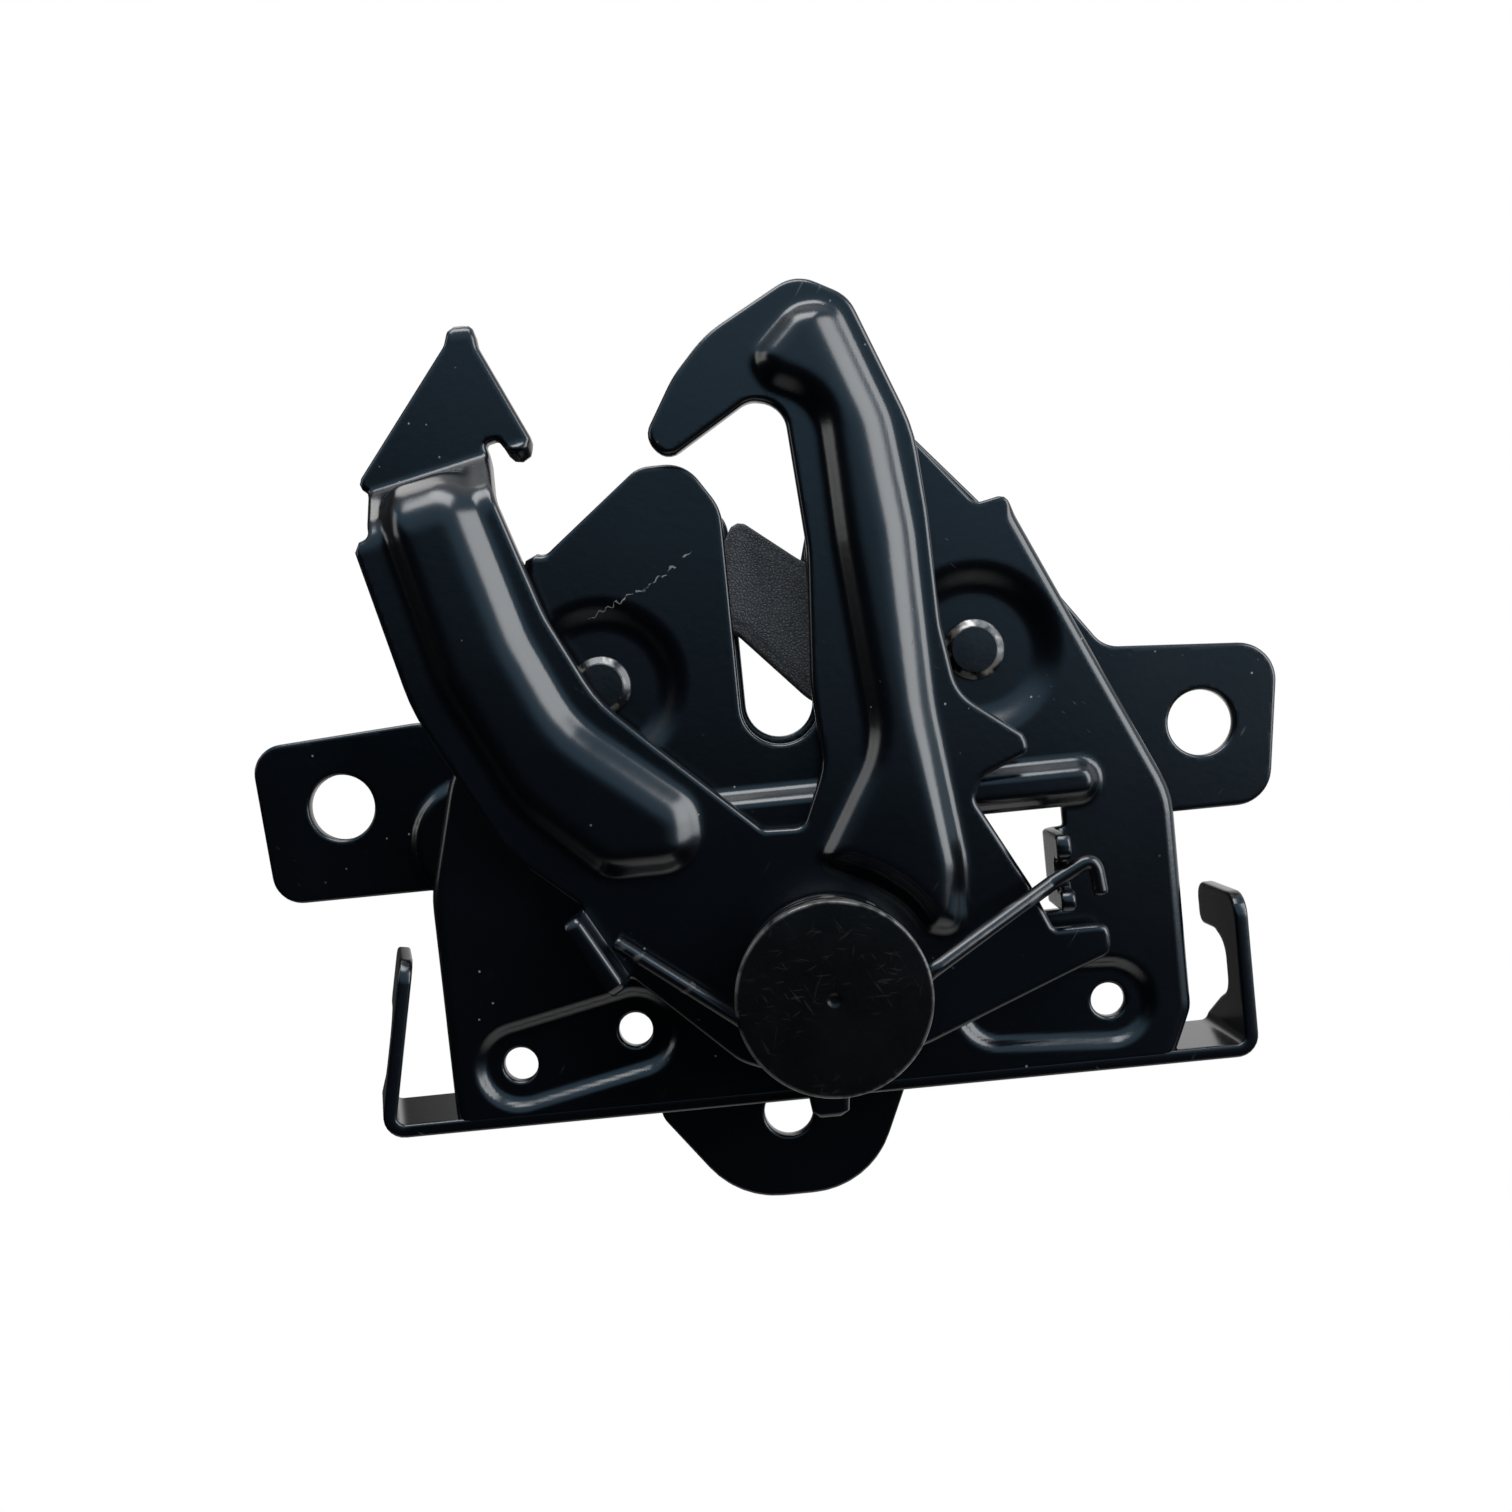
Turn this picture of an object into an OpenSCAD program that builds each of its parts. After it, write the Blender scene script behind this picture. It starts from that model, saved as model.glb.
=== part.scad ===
// Bonnet latch: pressed base plate, dished front plate, striker claw, pawl and a sprung safety lever.
// X runs to the viewer's right, Y away from the viewer and Z up.
// The origin lies midway between the two ear bolts, on the mounting face.

/* [Mounting] */
// Distance between the two ear bolts
ear_span = 116; // [100:1:130]
// Height of an ear
ear_h = 22; // [18:0.5:26]
// How far the lower bolt sits below the ear bolts
low_bolt_drop = 47.1; // [44:0.1:50]
// Diameter of the ear bolt holes
bolt_d = 8.8; // [6:0.2:10]
// Diameter of the lower bolt hole
low_bolt_d = 6.6; // [5:0.2:8]

/* [Plates] */
// Thickness of the base plate
base_t = 2; // [1.5:0.1:2.5]
// Thickness of the front plate
front_t = 1.8; // [1.4:0.1:2.2]
// Clear depth between the two plates
box_gap = 8; // [7.4:0.1:10]
// Depth of the dishes pressed into the front plate round the rivets
dish_d = 1.6; // [1:0.1:2]
// Height of the bosses pressed up from the base plate under the rivets
boss_h = 1.5; // [1:0.1:2]
// Height of the raised platform that carries the safety lever
pad_h = 2; // [1.9:0.1:3]
// Depth of the bottom flange and its two cable tabs
flange_d = 15; // [12:0.5:18]
// Diameter of the small fixing holes in the front plate
fixing_d = 4.4; // [3:0.1:5]

/* [Striker slot] */
// Width of the slot in the front plate
slot_w = 10; // [9:0.2:11]
// Sideways place of the slot's centre line
slot_x = 2; // [1:0.25:3]
// Height of the slot's floor above the ear bolts
slot_floor = 3; // [1:0.25:5]

/* [Claw and pawl] */
// Sideways place of the claw's rivet
claw_x = 27.4; // [26:0.2:29]
// Sideways place of the pawl's rivet
pawl_x = -20.6; // [-22:0.2:-19.6]
// Height of both rivets above the ear bolts
rivet_z = 12.6; // [11:0.2:14]
// Diameter of the rivet shoulders that the claw and pawl turn on
shoulder_d = 10; // [8:0.2:11]
// Diameter of the rivet necks in the plates
neck_d = 6; // [4:0.2:7]
// Diameter of the rivets' formed heads
rivet_head_d = 7.8; // [7.4:0.1:10]
// Angle that the claw turns between open and closed
claw_swing = 57; // [50:1:60]
// Reach of the claw's catch from its rivet
catch_r = 39.5; // [38:0.25:40]
// How far the pawl's nose drops behind the catch
catch_depth = 4.3; // [3:0.1:5]

/* [Safety lever] */
// Thickness of the lever's sheet
lever_t = 2.3; // [1.8:0.1:2.8]
// Sideways place of the lever's pivot
lever_x = 4.8; // [4:0.1:6]
// Height of the lever's pivot, below the ear bolts
lever_z = -26.7; // [-28:0.1:-26]
// Height of the ribs pressed into the lever
rib_h = 2.2; // [1.5:0.1:2.6]
// How far the finger tab is set back from the arm
joggle_d = 8; // [6:0.25:9]
// Diameter of the pivot journal in the lever's eye
journal_d = 12; // [10:0.5:14]
// Diameter of the pivot rivet's round head
cap_d = 23.4; // [22.6:0.2:26]
// Thickness of the pivot rivet's round head
cap_t = 2; // [1.5:0.1:3]

/* [Springs] */
// Wire diameter of the safety lever's spring
wire_d = 1.9; // [1.6:0.05:2]
// Mean diameter of the safety lever's spring
coil_d = 20.4; // [19.8:0.1:21]
// Whole turns of the safety lever's spring
coil_turns = 4; // [3:1:5]
// Wire diameter of the claw and pawl springs
pull_wire_d = 0.9; // [0.7:0.05:1]
// Outside diameter of the claw and pawl springs
pull_od = 5; // [4.4:0.1:5.4]

/* [Fits] */
// Running clearance on the radius of each pivot
run_fit = 0.05; // [0.02:0.01:0.1]
// Clearance between faces that slide past each other
side_gap = 0.3; // [0.2:0.05:0.5]

/* [Hidden] */
$fn = 64;
eps = 0.01;
// Largest turn of one step of a rounded corner, in degrees
arc_step = 12;

// Depths along Y, from the mounting face towards the viewer
base_front = -base_t;
front_back = base_front - box_gap;
front_face = front_back - front_t;
pad_face = front_face - pad_h;
pad_back = pad_face + front_t;
dish_floor = front_face + dish_d;
dish_back = front_back + dish_d;
front_mid = front_back - front_t / 2;
// Outer radius of a dish and how fast its wall closes in with depth
dish_r = 10.8;
dish_slope = 1.3;
boss_face = base_front - boss_h;
claw_front = dish_back + side_gap;
claw_back = boss_face - side_gap;
flange_back = front_face + flange_d;
side_flange_back = base_front - 1.3;
lever_back = pad_face - side_gap;
lever_face = lever_back - lever_t;
rib_face = lever_face - rib_h;
coil_pitch = wire_d + 0.05;
leg_turn = 120 / 360;
coil_low = lever_face - side_gap - wire_d / 2;
coil_high = coil_low - coil_pitch * (coil_turns + leg_turn);
cap_back = coil_high - wire_d / 2 - side_gap;
cap_face = cap_back - cap_t;

// Pivots in the XZ plane
claw_pin = [claw_x, rivet_z];
pawl_pin = [pawl_x, rivet_z];
lever_pin = [lever_x, lever_z];
ear_x = ear_span / 2;
low_bolt = [-2.1, -low_bolt_drop];
slot_l = slot_x - slot_w / 2;
slot_r = slot_x + slot_w / 2;

// Angles of the claw about its rivet, in the open pose
jaw_top_a = 145;
catch_a = 157.5;
catch_end_a = 166;
catch_floor_r = catch_r - catch_depth;
// Turn of the pawl between its raised and its dropped pose
pawl_arm_r = norm(claw_pin + polar(catch_r, catch_a + claw_swing) - pawl_pin);
pawl_drop = asin(catch_depth / pawl_arm_r) + 0.2;

// Fixing holes, and the centre of the right-hand recess that has no hole
left_fixings = [[-36, -35.1], [-20.7, -32]];
right_fixings = [[40.5, -34.1], [26.5, -33.2]];
fixing_recess_r = 5.3;
fixing_recess_d = 0.9;

// Spring anchors
tab_x = 33.6;
tab_low = -20.8;
tab_high = -10.8;
tab_h = 10.6;
tab_notch_z = -15.9;
leg_y = rib_face - 1.2 - wire_d / 2;
leg_rise = 29;
claw_hook = claw_pin + polar(12.2, -85);
claw_anchor = [13, -24];
pawl_hook = pawl_pin + [-4.8, -27.6];
pawl_anchor = [-9.4, -22.4];
hook_hole_r = pull_wire_d / 2 + 0.45;
anchor_r = 1.3;

black = [0.06, 0.06, 0.07];
grey = [0.2, 0.2, 0.21];
steel = [0.55, 0.55, 0.56];

function unit(v) = v / norm(v);
function polar(r, a) = r * [cos(a), sin(a)];
function spin(v, a) = [v[0] * cos(a) - v[1] * sin(a), v[0] * sin(a) + v[1] * cos(a)];
function xy(p) = [p[0], p[1]];
function wrap(pts, i) = pts[(i + len(pts)) % len(pts)];

// Points of one corner at b between a and c, rounded with radius r
function corner(a, b, c, r) =
    let (u = unit(a - b), v = unit(c - b), half = acos(max(-1, min(1, u * v))) / 2)
    r <= 0 || half > 89 ? [b] :
    let (start = b + u * r / tan(half),
         centre = b + unit(u + v) * r / sin(half),
         turn = 180 - 2 * half,
         way = u[0] * v[1] - u[1] * v[0] > 0 ? -1 : 1,
         steps = max(2, ceil(turn / arc_step)))
    [for (k = [0 : steps]) centre + spin(start - centre, way * turn * k / steps)];

// A closed path through [x, z, radius] corners
function rounded(pts) =
    [for (i = [0 : len(pts) - 1])
        each corner(xy(wrap(pts, i - 1)), xy(pts[i]), xy(wrap(pts, i + 1)), pts[i][2])];

// The same corners moved inwards by d, for corners listed anticlockwise
function left_of(a, b) = let (t = unit(b - a)) [-t[1], t[0]];
function inset(pts, d) =
    [for (i = [0 : len(pts) - 1])
        let (a = xy(wrap(pts, i - 1)), b = xy(pts[i]), c = xy(wrap(pts, i + 1)),
             m = left_of(a, b), n = left_of(b, c),
             p = b + d * (m + n) / (1 + m * n),
             outer = (b[0] - a[0]) * (c[1] - b[1]) - (b[1] - a[1]) * (c[0] - b[0]) > 0)
        [p[0], p[1], outer ? max(0.3, pts[i][2] - d) : pts[i][2] + d]];

// Extrudes an outline in the XZ plane between two depths
module slab(pts, y0, y1) {
    translate([0, y1, 0])
        rotate([90, 0, 0])
            linear_extrude(y1 - y0)
                polygon(rounded(pts));
}

// Round bar along Y at a point of the XZ plane
module rod(p, r, y0, y1, r_front = 0) {
    translate([p[0], y1, p[1]])
        rotate([90, 0, 0])
            cylinder(h = y1 - y0, r1 = r, r2 = r_front > 0 ? r_front : r);
}

// A raised, hollow pressing of the given outline on a sheet
module pressing(pts, face, sheet_back, t) {
    difference() {
        slab(pts, face, sheet_back);
        slab(inset(pts, t), face + t, sheet_back + eps);
    }
}

// Straight stretch with round ends between two points
module stadium(p, q, r, y0, y1) {
    d = unit(q - p) * r;
    n = left_of(p, q) * r;
    slab([for (c = [p - d - n, q + d - n, q + d + n, p - d + n]) [c[0], c[1], r - eps]], y0, y1);
}

// A round wire swept along a list of points
function tangent(path, i) =
    unit(path[min(i + 1, len(path) - 1)] - path[max(i - 1, 0)]);
// One side vector for each point, carried along the path without twisting
function flat(v, t) = unit(v - (v * t) * t);
function sides_of(path) =
    [for (i = 0, v = flat([0.36, 0.48, 0.8], tangent(path, 0));
          i < len(path);
          i = i + 1, v = i < len(path) ? flat(v, tangent(path, i)) : v) v];
function wire_ring(path, side, i, r, sides) =
    let (v = side[i], w = cross(tangent(path, i), v))
    [for (k = [0 : sides - 1]) path[i] + r * (cos(360 * k / sides) * v + sin(360 * k / sides) * w)];
module wire(path, d, sides) {
    n = len(path);
    side = sides_of(path);
    points = [for (i = [0 : n - 1]) each wire_ring(path, side, i, d / 2, sides)];
    walls = [for (i = [0 : n - 2], k = [0 : sides - 1])
        [i * sides + k, i * sides + (k + 1) % sides,
         (i + 1) * sides + (k + 1) % sides, (i + 1) * sides + k]];
    first = [for (k = [0 : sides - 1]) sides - 1 - k];
    last = [for (k = [0 : sides - 1]) (n - 1) * sides + k];
    polyhedron(points, concat([first], walls, [last]));
}

// Outline of the base plate: lower lobe, right ear, horns beside the slot, left ear
ear_top = ear_h / 2 - 0.6;
ear_low = -ear_h / 2 - 0.6;
lobe_low = low_bolt[1] - 11.5;
lobe_top = low_bolt[1] + 1.1;
left_ear_low = ear_low - 0.8;
base_slot_gap = 0.5;
base_outline = [
    [-19.5, lobe_top, 3], [-10, lobe_low, 12], [8, lobe_low, 12], [14.5, lobe_top + 2, 8],
    [20, -8.8, 5], [38, -8.8, 6], [47, ear_low, 6], [ear_x + 8.3, ear_low, 5],
    [ear_x + 11.2, ear_top - 0.6, 5], [46, ear_top + 1, 4], [31, 32.5, 3], [21.5, 43.6, 4], [11, 42, 5],
    [slot_r - base_slot_gap, 33, 3],
    [slot_r - base_slot_gap, slot_floor + 0.7, slot_w / 2 - base_slot_gap - eps],
    [slot_l + base_slot_gap, slot_floor + 0.7, slot_w / 2 - base_slot_gap - eps],
    [slot_l + base_slot_gap, 33, 4], [-8, 38.6, 4], [-13, 38.6, 4], [-27, 28.5, 4], [-38.5, 6, 5],
    [-46, ear_top, 4], [-ear_x - 11.6, ear_top - 1.4, 4], [-ear_x - 10.2, left_ear_low, 4],
    [-33, left_ear_low, 8], [-16.5, -27, 6]];

// Outline of the front plate, from its lower left corner
plate_low = -43;
plate_left = -45.2;
plate_right = 51;
front_outline = [
    [plate_left + 0.8, plate_low, 2], [plate_right - 3, plate_low, 2], [plate_right, -36, 4],
    [plate_right, -8, 12], [33, 31.8, 1.2], [29.1, 31, 1.5], [20.5, 41.8, 4], [11.5, 40.6, 5],
    [slot_r, 33, 4], [slot_r, slot_floor, slot_w / 2 - eps], [slot_l, slot_floor, slot_w / 2 - eps],
    [slot_l, 33.6, 6], [-7, 39.8, 5], [-13, 39.8, 4], [-25.8, 29.9, 1.5], [-28, 30.6, 1],
    [-41.5, 2, 15], [plate_left, -12, 15]];

// Raised platform on the front plate, with its finger beside the window
finger_low = -8;
pad_top = -2.7;
pad_outline = [
    [-20, pad_top, 3], [-20, -12, 5], [-7, -33, 6], [0.5, -38, 5], [9, -38, 5], [17, -32.5, 6], [23, -20, 5],
    [23, finger_low, 2], [41.4, finger_low, 2.5], [41.4, pad_top, 2.5]];

// Window that the spring tab is folded out of
window_l = 24.6;
window_r = 36.6;
window_low = tab_low - 0.8;
window_top = finger_low - 0.5;
window_outline = [
    [window_l, window_low, 1], [window_r, window_low, 1],
    [window_r, window_top, 1], [window_l, window_top, 1]];

// Cable tab in the YZ plane, open towards the back
cable_z = -32.2;
function cable_tab(tab_top) = [
    [front_face, plate_low, 0], [flange_back, plate_low, 0], [flange_back, cable_z - 8, 1],
    [front_face + 9, cable_z - 4.6, 3], [front_face + 5.4, cable_z - 3, 3],
    [front_face + 5.4, cable_z + 3, 3],
    [front_face + 9, cable_z + 4.5, 2], [flange_back, cable_z + 4.5, 1.6], [flange_back, tab_top, 2.5],
    [front_face, tab_top, 3]];

// Bosses under the rivets, the hollows behind them and the round bead at the left ear's root
boss_r = 10.4;
boss_slope = 1.2;
hollow_r = 7;
bead = [-40.5, -6.5];
bead_r = 8.6;
bead_h = 1;
module base_plate() {
    color(black)
    difference() {
        union() {
            slab(base_outline, base_front, 0);
            for (p = [claw_pin, pawl_pin])
                rod(p, boss_r, boss_face, base_front + eps, boss_r - boss_slope * boss_h);
            rod(bead, bead_r, base_front - bead_h, base_front + eps, bead_r - 0.8 * bead_h);
            rod(claw_anchor, anchor_r, claw_front, base_front + eps);
            rod(pawl_anchor, anchor_r, claw_front, base_front + eps);
        }
        for (p = [claw_pin, pawl_pin]) {
            rod(p, hollow_r, -boss_h, eps, hollow_r - 0.8);
            rod(p, neck_d / 2 + run_fit, boss_face - eps, eps);
        }
        for (p = [[-ear_x, 0], [ear_x, 0]])
            rod(p, bolt_d / 2, base_front - eps, eps);
        rod(low_bolt, low_bolt_d / 2, base_front - eps, eps);
    }
}

// Strip along the left or the right edge of the front plate, bent back towards the base plate
module side_flange(x0, x1, z0, z1) {
    intersection() {
        difference() {
            slab(front_outline, front_mid, side_flange_back);
            slab(inset(front_outline, front_t), front_back - 1, side_flange_back + 1);
        }
        translate([x0, front_mid, z0])
            cube([x1 - x0, box_gap + front_t, z1 - z0]);
    }
}

// One folded cable tab of the given top height, leaning to the right and turned in about its front edge
module cable_holder(x, side, top, lean, toe) {
    translate([x, front_face, plate_low + front_t * tan(lean)])
        rotate([0, lean, side * toe])
            translate([side > 0 ? -front_t : 0, -front_face, -plate_low])
                rotate([90, 0, 90])
                    linear_extrude(front_t)
                        polygon(rounded(cable_tab(top)));
}

left_tab_x = -54.3;
right_tab_x = 59.2;
left_tab_top = -19.6;
right_tab_top = -21.8;
left_tab_lean = 12;
left_toe = -15;
right_toe = 2;
module bottom_flange() {
    left = left_tab_x + front_t / 2;
    right = right_tab_x - front_t / 2;
    end = flange_back - eps;
    translate([0, 0, plate_low])
        linear_extrude(front_t)
            polygon([[left, front_face], [right, front_face], [right - flange_d * tan(right_toe), end],
                     [plate_right - 9, end], [plate_right - 13, front_face + 5],
                     [plate_left + 14, front_face + 5], [plate_left + 10, end],
                     [left + flange_d * tan(left_toe), end]]);
}

// Lug folded forwards out of the window, notched for the spring's end
module spring_tab() {
    notch_h = wire_d + 2 * side_gap + front_t * tan(leg_rise);
    difference() {
        union() {
            translate([tab_x, front_face - tab_h, tab_low])
                cube([front_t, tab_h + front_t, tab_high - tab_low]);
            translate([tab_x + eps, front_face, tab_low])
                cube([window_r - tab_x + 1, front_t, tab_high - tab_low]);
        }
        translate([tab_x - eps, front_face - tab_h - eps, tab_notch_z - notch_h / 2])
            cube([front_t + 2 * eps, leg_y + wire_d / 2 + side_gap - front_face + tab_h, notch_h]);
    }
}

module front_plate() {
    color(black)
    difference() {
        union() {
            difference() {
                slab(front_outline, front_face, front_back);
                slab(inset(pad_outline, front_t), front_face - 1, front_back + 1);
                slab(window_outline, front_face - 1, front_back + 1);
            }
            pressing(pad_outline, pad_face, front_back, front_t);
            for (p = [claw_pin, pawl_pin])
                rod(p, dish_r - dish_slope * dish_d, front_mid, dish_back, dish_r + dish_slope * front_t / 2);
            stadium(left_fixings[0], left_fixings[1], fixing_recess_r + 0.3, front_mid,
                    front_back + fixing_recess_d);
            stadium(right_fixings[0], right_fixings[1], fixing_recess_r + 0.3, front_mid,
                    front_back + fixing_recess_d);
            side_flange(plate_left - 1, -26, -29, 29.4);
            side_flange(31, plate_right + 1, -34, 30.4);
            bottom_flange();
            cable_holder(right_tab_x, 1, right_tab_top, 0, right_toe);
            cable_holder(left_tab_x, -1, left_tab_top, left_tab_lean, left_toe);
            spring_tab();
        }
        for (p = [claw_pin, pawl_pin]) {
            rod(p, dish_r - dish_slope * dish_d - 0.6, front_face - eps, dish_floor, dish_r - 0.6);
            rod(p, neck_d / 2 + run_fit, front_face - 1, front_back + 3);
        }
        stadium(left_fixings[0], left_fixings[1], fixing_recess_r, front_face - eps,
                front_face + fixing_recess_d);
        stadium(right_fixings[0], right_fixings[1], fixing_recess_r, front_face - eps,
                front_face + fixing_recess_d);
        for (p = [left_fixings[0], left_fixings[1], right_fixings[0]])
            rod(p, fixing_d / 2, front_face - 1, front_back + 3);
        rod(lever_pin, journal_d / 2 - 1 + run_fit, pad_face - 1, pad_back + 1);
    }
}

// Outline of the claw in its open pose, as [distance, angle, corner radius] about its rivet
hub_r = 11;
tail_r = 15;
jaw_r = 30.5;
throat_r = 21.2;
claw_polar = [
    [catch_floor_r, jaw_top_a, 1.5], [catch_floor_r, catch_a, 0.6], [catch_r, catch_a, 0.8],
    [catch_r, catch_end_a, 2], [30.4, 170.6, 4], [21.7, 192.5, 6], [14.5, 215, 6], [13, 246, 4],
    [tail_r, 266, 2], [tail_r, 284, 2], [hub_r, 304, 4], [hub_r, 350, 8], [hub_r, 35, 8], [14, 72, 8],
    [jaw_r, 104, 3], [jaw_r, 114, 2.4], [throat_r, 118.5, 5.2], [throat_r, 147.5, 5.2]];
claw_outline = [for (c = claw_polar)
    let (p = claw_pin + polar(c[0], c[1])) [p[0], p[1], c[2]]];

module claw() {
    color(grey)
    difference() {
        slab(claw_outline, claw_front, claw_back);
        rod(claw_pin, shoulder_d / 2 + run_fit, claw_front - 1, claw_back + 1);
        rod(claw_hook, hook_hole_r, claw_front - 1, claw_back + 1);
    }
}

// Corners turned about a centre
function turned(pts, centre, a) =
    [for (p = pts) let (q = centre + spin(xy(p) - centre, a)) [q[0], q[1], p[2]]];
function at(centre, dx, dz, r) = [centre[0] + dx, centre[1] + dz, r];

// The pawl's nose as it lies behind the catch, and its release arm as it hangs at rest
pawl_hub_r = 8;
nose_a = catch_a + claw_swing - 0.5;
nose_floor = claw_pin + polar(catch_floor_r + side_gap, nose_a);
nose_heel = claw_pin + polar(catch_r + 3.6, nose_a);
nose_side = claw_pin + polar(catch_floor_r + 2 * side_gap, nose_a - 9);
nose_outline = [
    at(pawl_pin, -6, -4, 1), [nose_heel[0], nose_heel[1], 1.5], [nose_floor[0], nose_floor[1], 0.4],
    [nose_side[0], nose_side[1], 2], at(pawl_pin, 6.3, 3.5, 1)];
arm_outline = [
    at(pawl_pin, -7, 0, 1), at(pawl_pin, -9.6, -30, 10), at(pawl_pin, -11, -41, 4), at(pawl_pin, -3, -44, 4),
    at(pawl_pin, -1.4, -30, 10), at(pawl_pin, 3, -6, 4), at(pawl_pin, 4, 0, 1)];
cable_eye = pawl_pin + [-6.9, -39];

module pawl() {
    color(grey)
    difference() {
        union() {
            rod(pawl_pin, pawl_hub_r, claw_front, claw_back);
            slab(turned(nose_outline, pawl_pin, -pawl_drop), claw_front, claw_back);
            slab(arm_outline, claw_front, claw_back);
        }
        rod(claw_pin, catch_r + side_gap, claw_front - 1, claw_back + 1);
        rod(pawl_pin, shoulder_d / 2 + run_fit, claw_front - 1, claw_back + 1);
        rod(pawl_hook, hook_hole_r, claw_front - 1, claw_back + 1);
        rod(cable_eye, 2.3, claw_front - 1, claw_back + 1);
    }
}

// Shouldered rivet between the two plates, with a formed head at each end
rivet_head_h = 1.2;
rivet_chamfer = 0.9;
module shoulder_rivet(p) {
    neck = neck_d / 2;
    head = rivet_head_d / 2;
    color(steel)
    translate([p[0], 0, p[1]])
        rotate([90, 0, 0])
            rotate_extrude()
                polygon([
                    [0, boss_h - rivet_head_h], [head - rivet_chamfer, boss_h - rivet_head_h],
                    [head, boss_h - rivet_head_h / 2], [head, boss_h], [neck, boss_h],
                    [neck, -boss_face], [shoulder_d / 2, -boss_face], [shoulder_d / 2, -dish_back],
                    [neck, -dish_back], [neck, -dish_floor], [head, -dish_floor],
                    [head, rivet_head_h / 2 - dish_floor],
                    [head - rivet_chamfer, rivet_head_h - dish_floor], [0, rivet_head_h - dish_floor]]);
}
module claw_rivet() { shoulder_rivet(claw_pin); }
module pawl_rivet() { shoulder_rivet(pawl_pin); }

// Pull spring: hooked through a hole in a moving piece, coiled, and looped round a post of the base plate
pull_segments = 12;
module pull_spring(hook, post, lead, turns) {
    mid = (claw_front + claw_back) / 2;
    ring = (pull_od - pull_wire_d) / 2;
    over = claw_front - pull_wire_d / 2 - side_gap;
    under = claw_back + pull_wire_d / 2 + side_gap;
    d = unit(post - hook);
    s = [-d[1], d[0]];
    loop = anchor_r + pull_wire_d / 2 + side_gap;
    coil_len = norm(post - hook) - lead - loop - pull_wire_d;
    steps = turns * pull_segments;
    function place(p, y) = [p[0], y, p[1]];
    coil = [for (k = [0 : steps])
        let (a = 360 * k / pull_segments, p = hook + d * (lead + coil_len * k / steps) + s * ring * sin(a))
        place(p, mid - ring * cos(a))];
    end_loop = [for (a = [0 : 30 : 180]) place(post + loop * (s * cos(a) + d * sin(a)), mid)];
    color(steel)
        wire(concat([place(hook, under), place(hook, over + 0.4), place(hook + d * 0.4, over),
                     place(hook + d * (lead - 1.2), over)], coil, end_loop), pull_wire_d, 6);
}
module claw_spring() { pull_spring(claw_hook, claw_anchor, 6, 16.25); }
module pawl_spring() { pull_spring(pawl_hook, pawl_anchor, 6.6, 6.25); }

// Outline of the safety lever, from its tail round the spring lobe, the hook and the finger arm
arm_left = [-49.4, 32.83];
arm_right = [-30.7, 36.8];
lug_low = [-21.6, -25.3];
lug_high = [-26.8, -15.9];
lever_outline = [
    [1.1, -44.3, 0.8], [5.6, -44.3, 0.8], [6.2, -39.6, 1.5], [17, -36, 6], [35.5, -28.8, 3],
    [40.4, -27, 1.8], [40.3, -23.2, 1.2], [33.4, -23.2, 0.8], [31, -17.4, 2], [25, -6.1, 1.6],
    [26.3, -3.4, 1.6], [32.4, -0.9, 1.2],
    [32, 1.4, 1.4], [24.2, 7.4, 6], [22.9, 16, 12], [22.6, 30, 20], [21.8, 40.5, 20], [15.3, 57.4, 5],
    [9, 60.8, 5], [-2.4, 54.2, 16], [-11.5, 42.6, 1.8], [-9, 39.5, 1.6], [1.8, 45.9, 3], [6, 45, 3.6],
    [7.2, 26.8, 20], [6, 10, 20], [6.6, 0, 8], [3.4, -7.4, 1.6], [-1.6, -7.2, 1.4], [-14, 4.6, 20],
    [-20.6, 11, 16], [-26, 22, 20], [arm_right[0], arm_right[1], 0], [arm_left[0], arm_left[1], 0],
    [-44.3, 11.6, 25], [-34.6, -6, 8], [-31.4, -9.4, 5], [lug_high[0], lug_high[1], 1],
    [lug_low[0], lug_low[1], 1], [-7.5, -36.2, 6], [0.5, -39.6, 1.5]];

// Ribs pressed into the arm and into the hook's stem
arm_rib = [
    [-42.1, 31.7, 1.2], [-40, 13, 16], [-32, -1.2, 14], [-22, -10.6, 4], [-11.6, -9.6, 3.4], [-9.6, -2, 3.4],
    [-21.4, 8.2, 14], [-27.8, 20.6, 16], [-31.9, 33.9, 1.2]];
foot_r = coil_d / 2 + wire_d + 1.4;
stem_foot = [for (a = [62, 40, 20]) lever_pin + polar(foot_r, a)];
stem_rib = [
    [4.4, -12, 1.6], [stem_foot[0][0], stem_foot[0][1], 6], [stem_foot[1][0], stem_foot[1][1], 10],
    [stem_foot[2][0], stem_foot[2][1], 1.5], [21.8, -23, 2.2], [22.8, -14, 10], [20.6, 6, 30], [20.2, 28, 24],
    [18.6, 42, 14], [13.2, 56.8, 4], [8, 56.6, 4], [2.2, 51, 2.6], [4, 47.4, 2.6], [10, 44.6, 6],
    [10.7, 27, 20], [12.8, 2, 12]];
rib_wall = 1.6;

// Lug folded up from the lever's edge, pushed by the spring's free leg
lug_t = 1.8;
lug_h = 5.5;
lug_side = left_of(lug_high, lug_low);
lug_outline = [
    [lug_high[0], lug_high[1], 0], [lug_low[0], lug_low[1], 0],
    [lug_low[0] + lug_side[0] * lug_t, lug_low[1] + lug_side[1] * lug_t, 0],
    [lug_high[0] + lug_side[0] * lug_t, lug_high[1] + lug_side[1] * lug_t, 0]];

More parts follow.
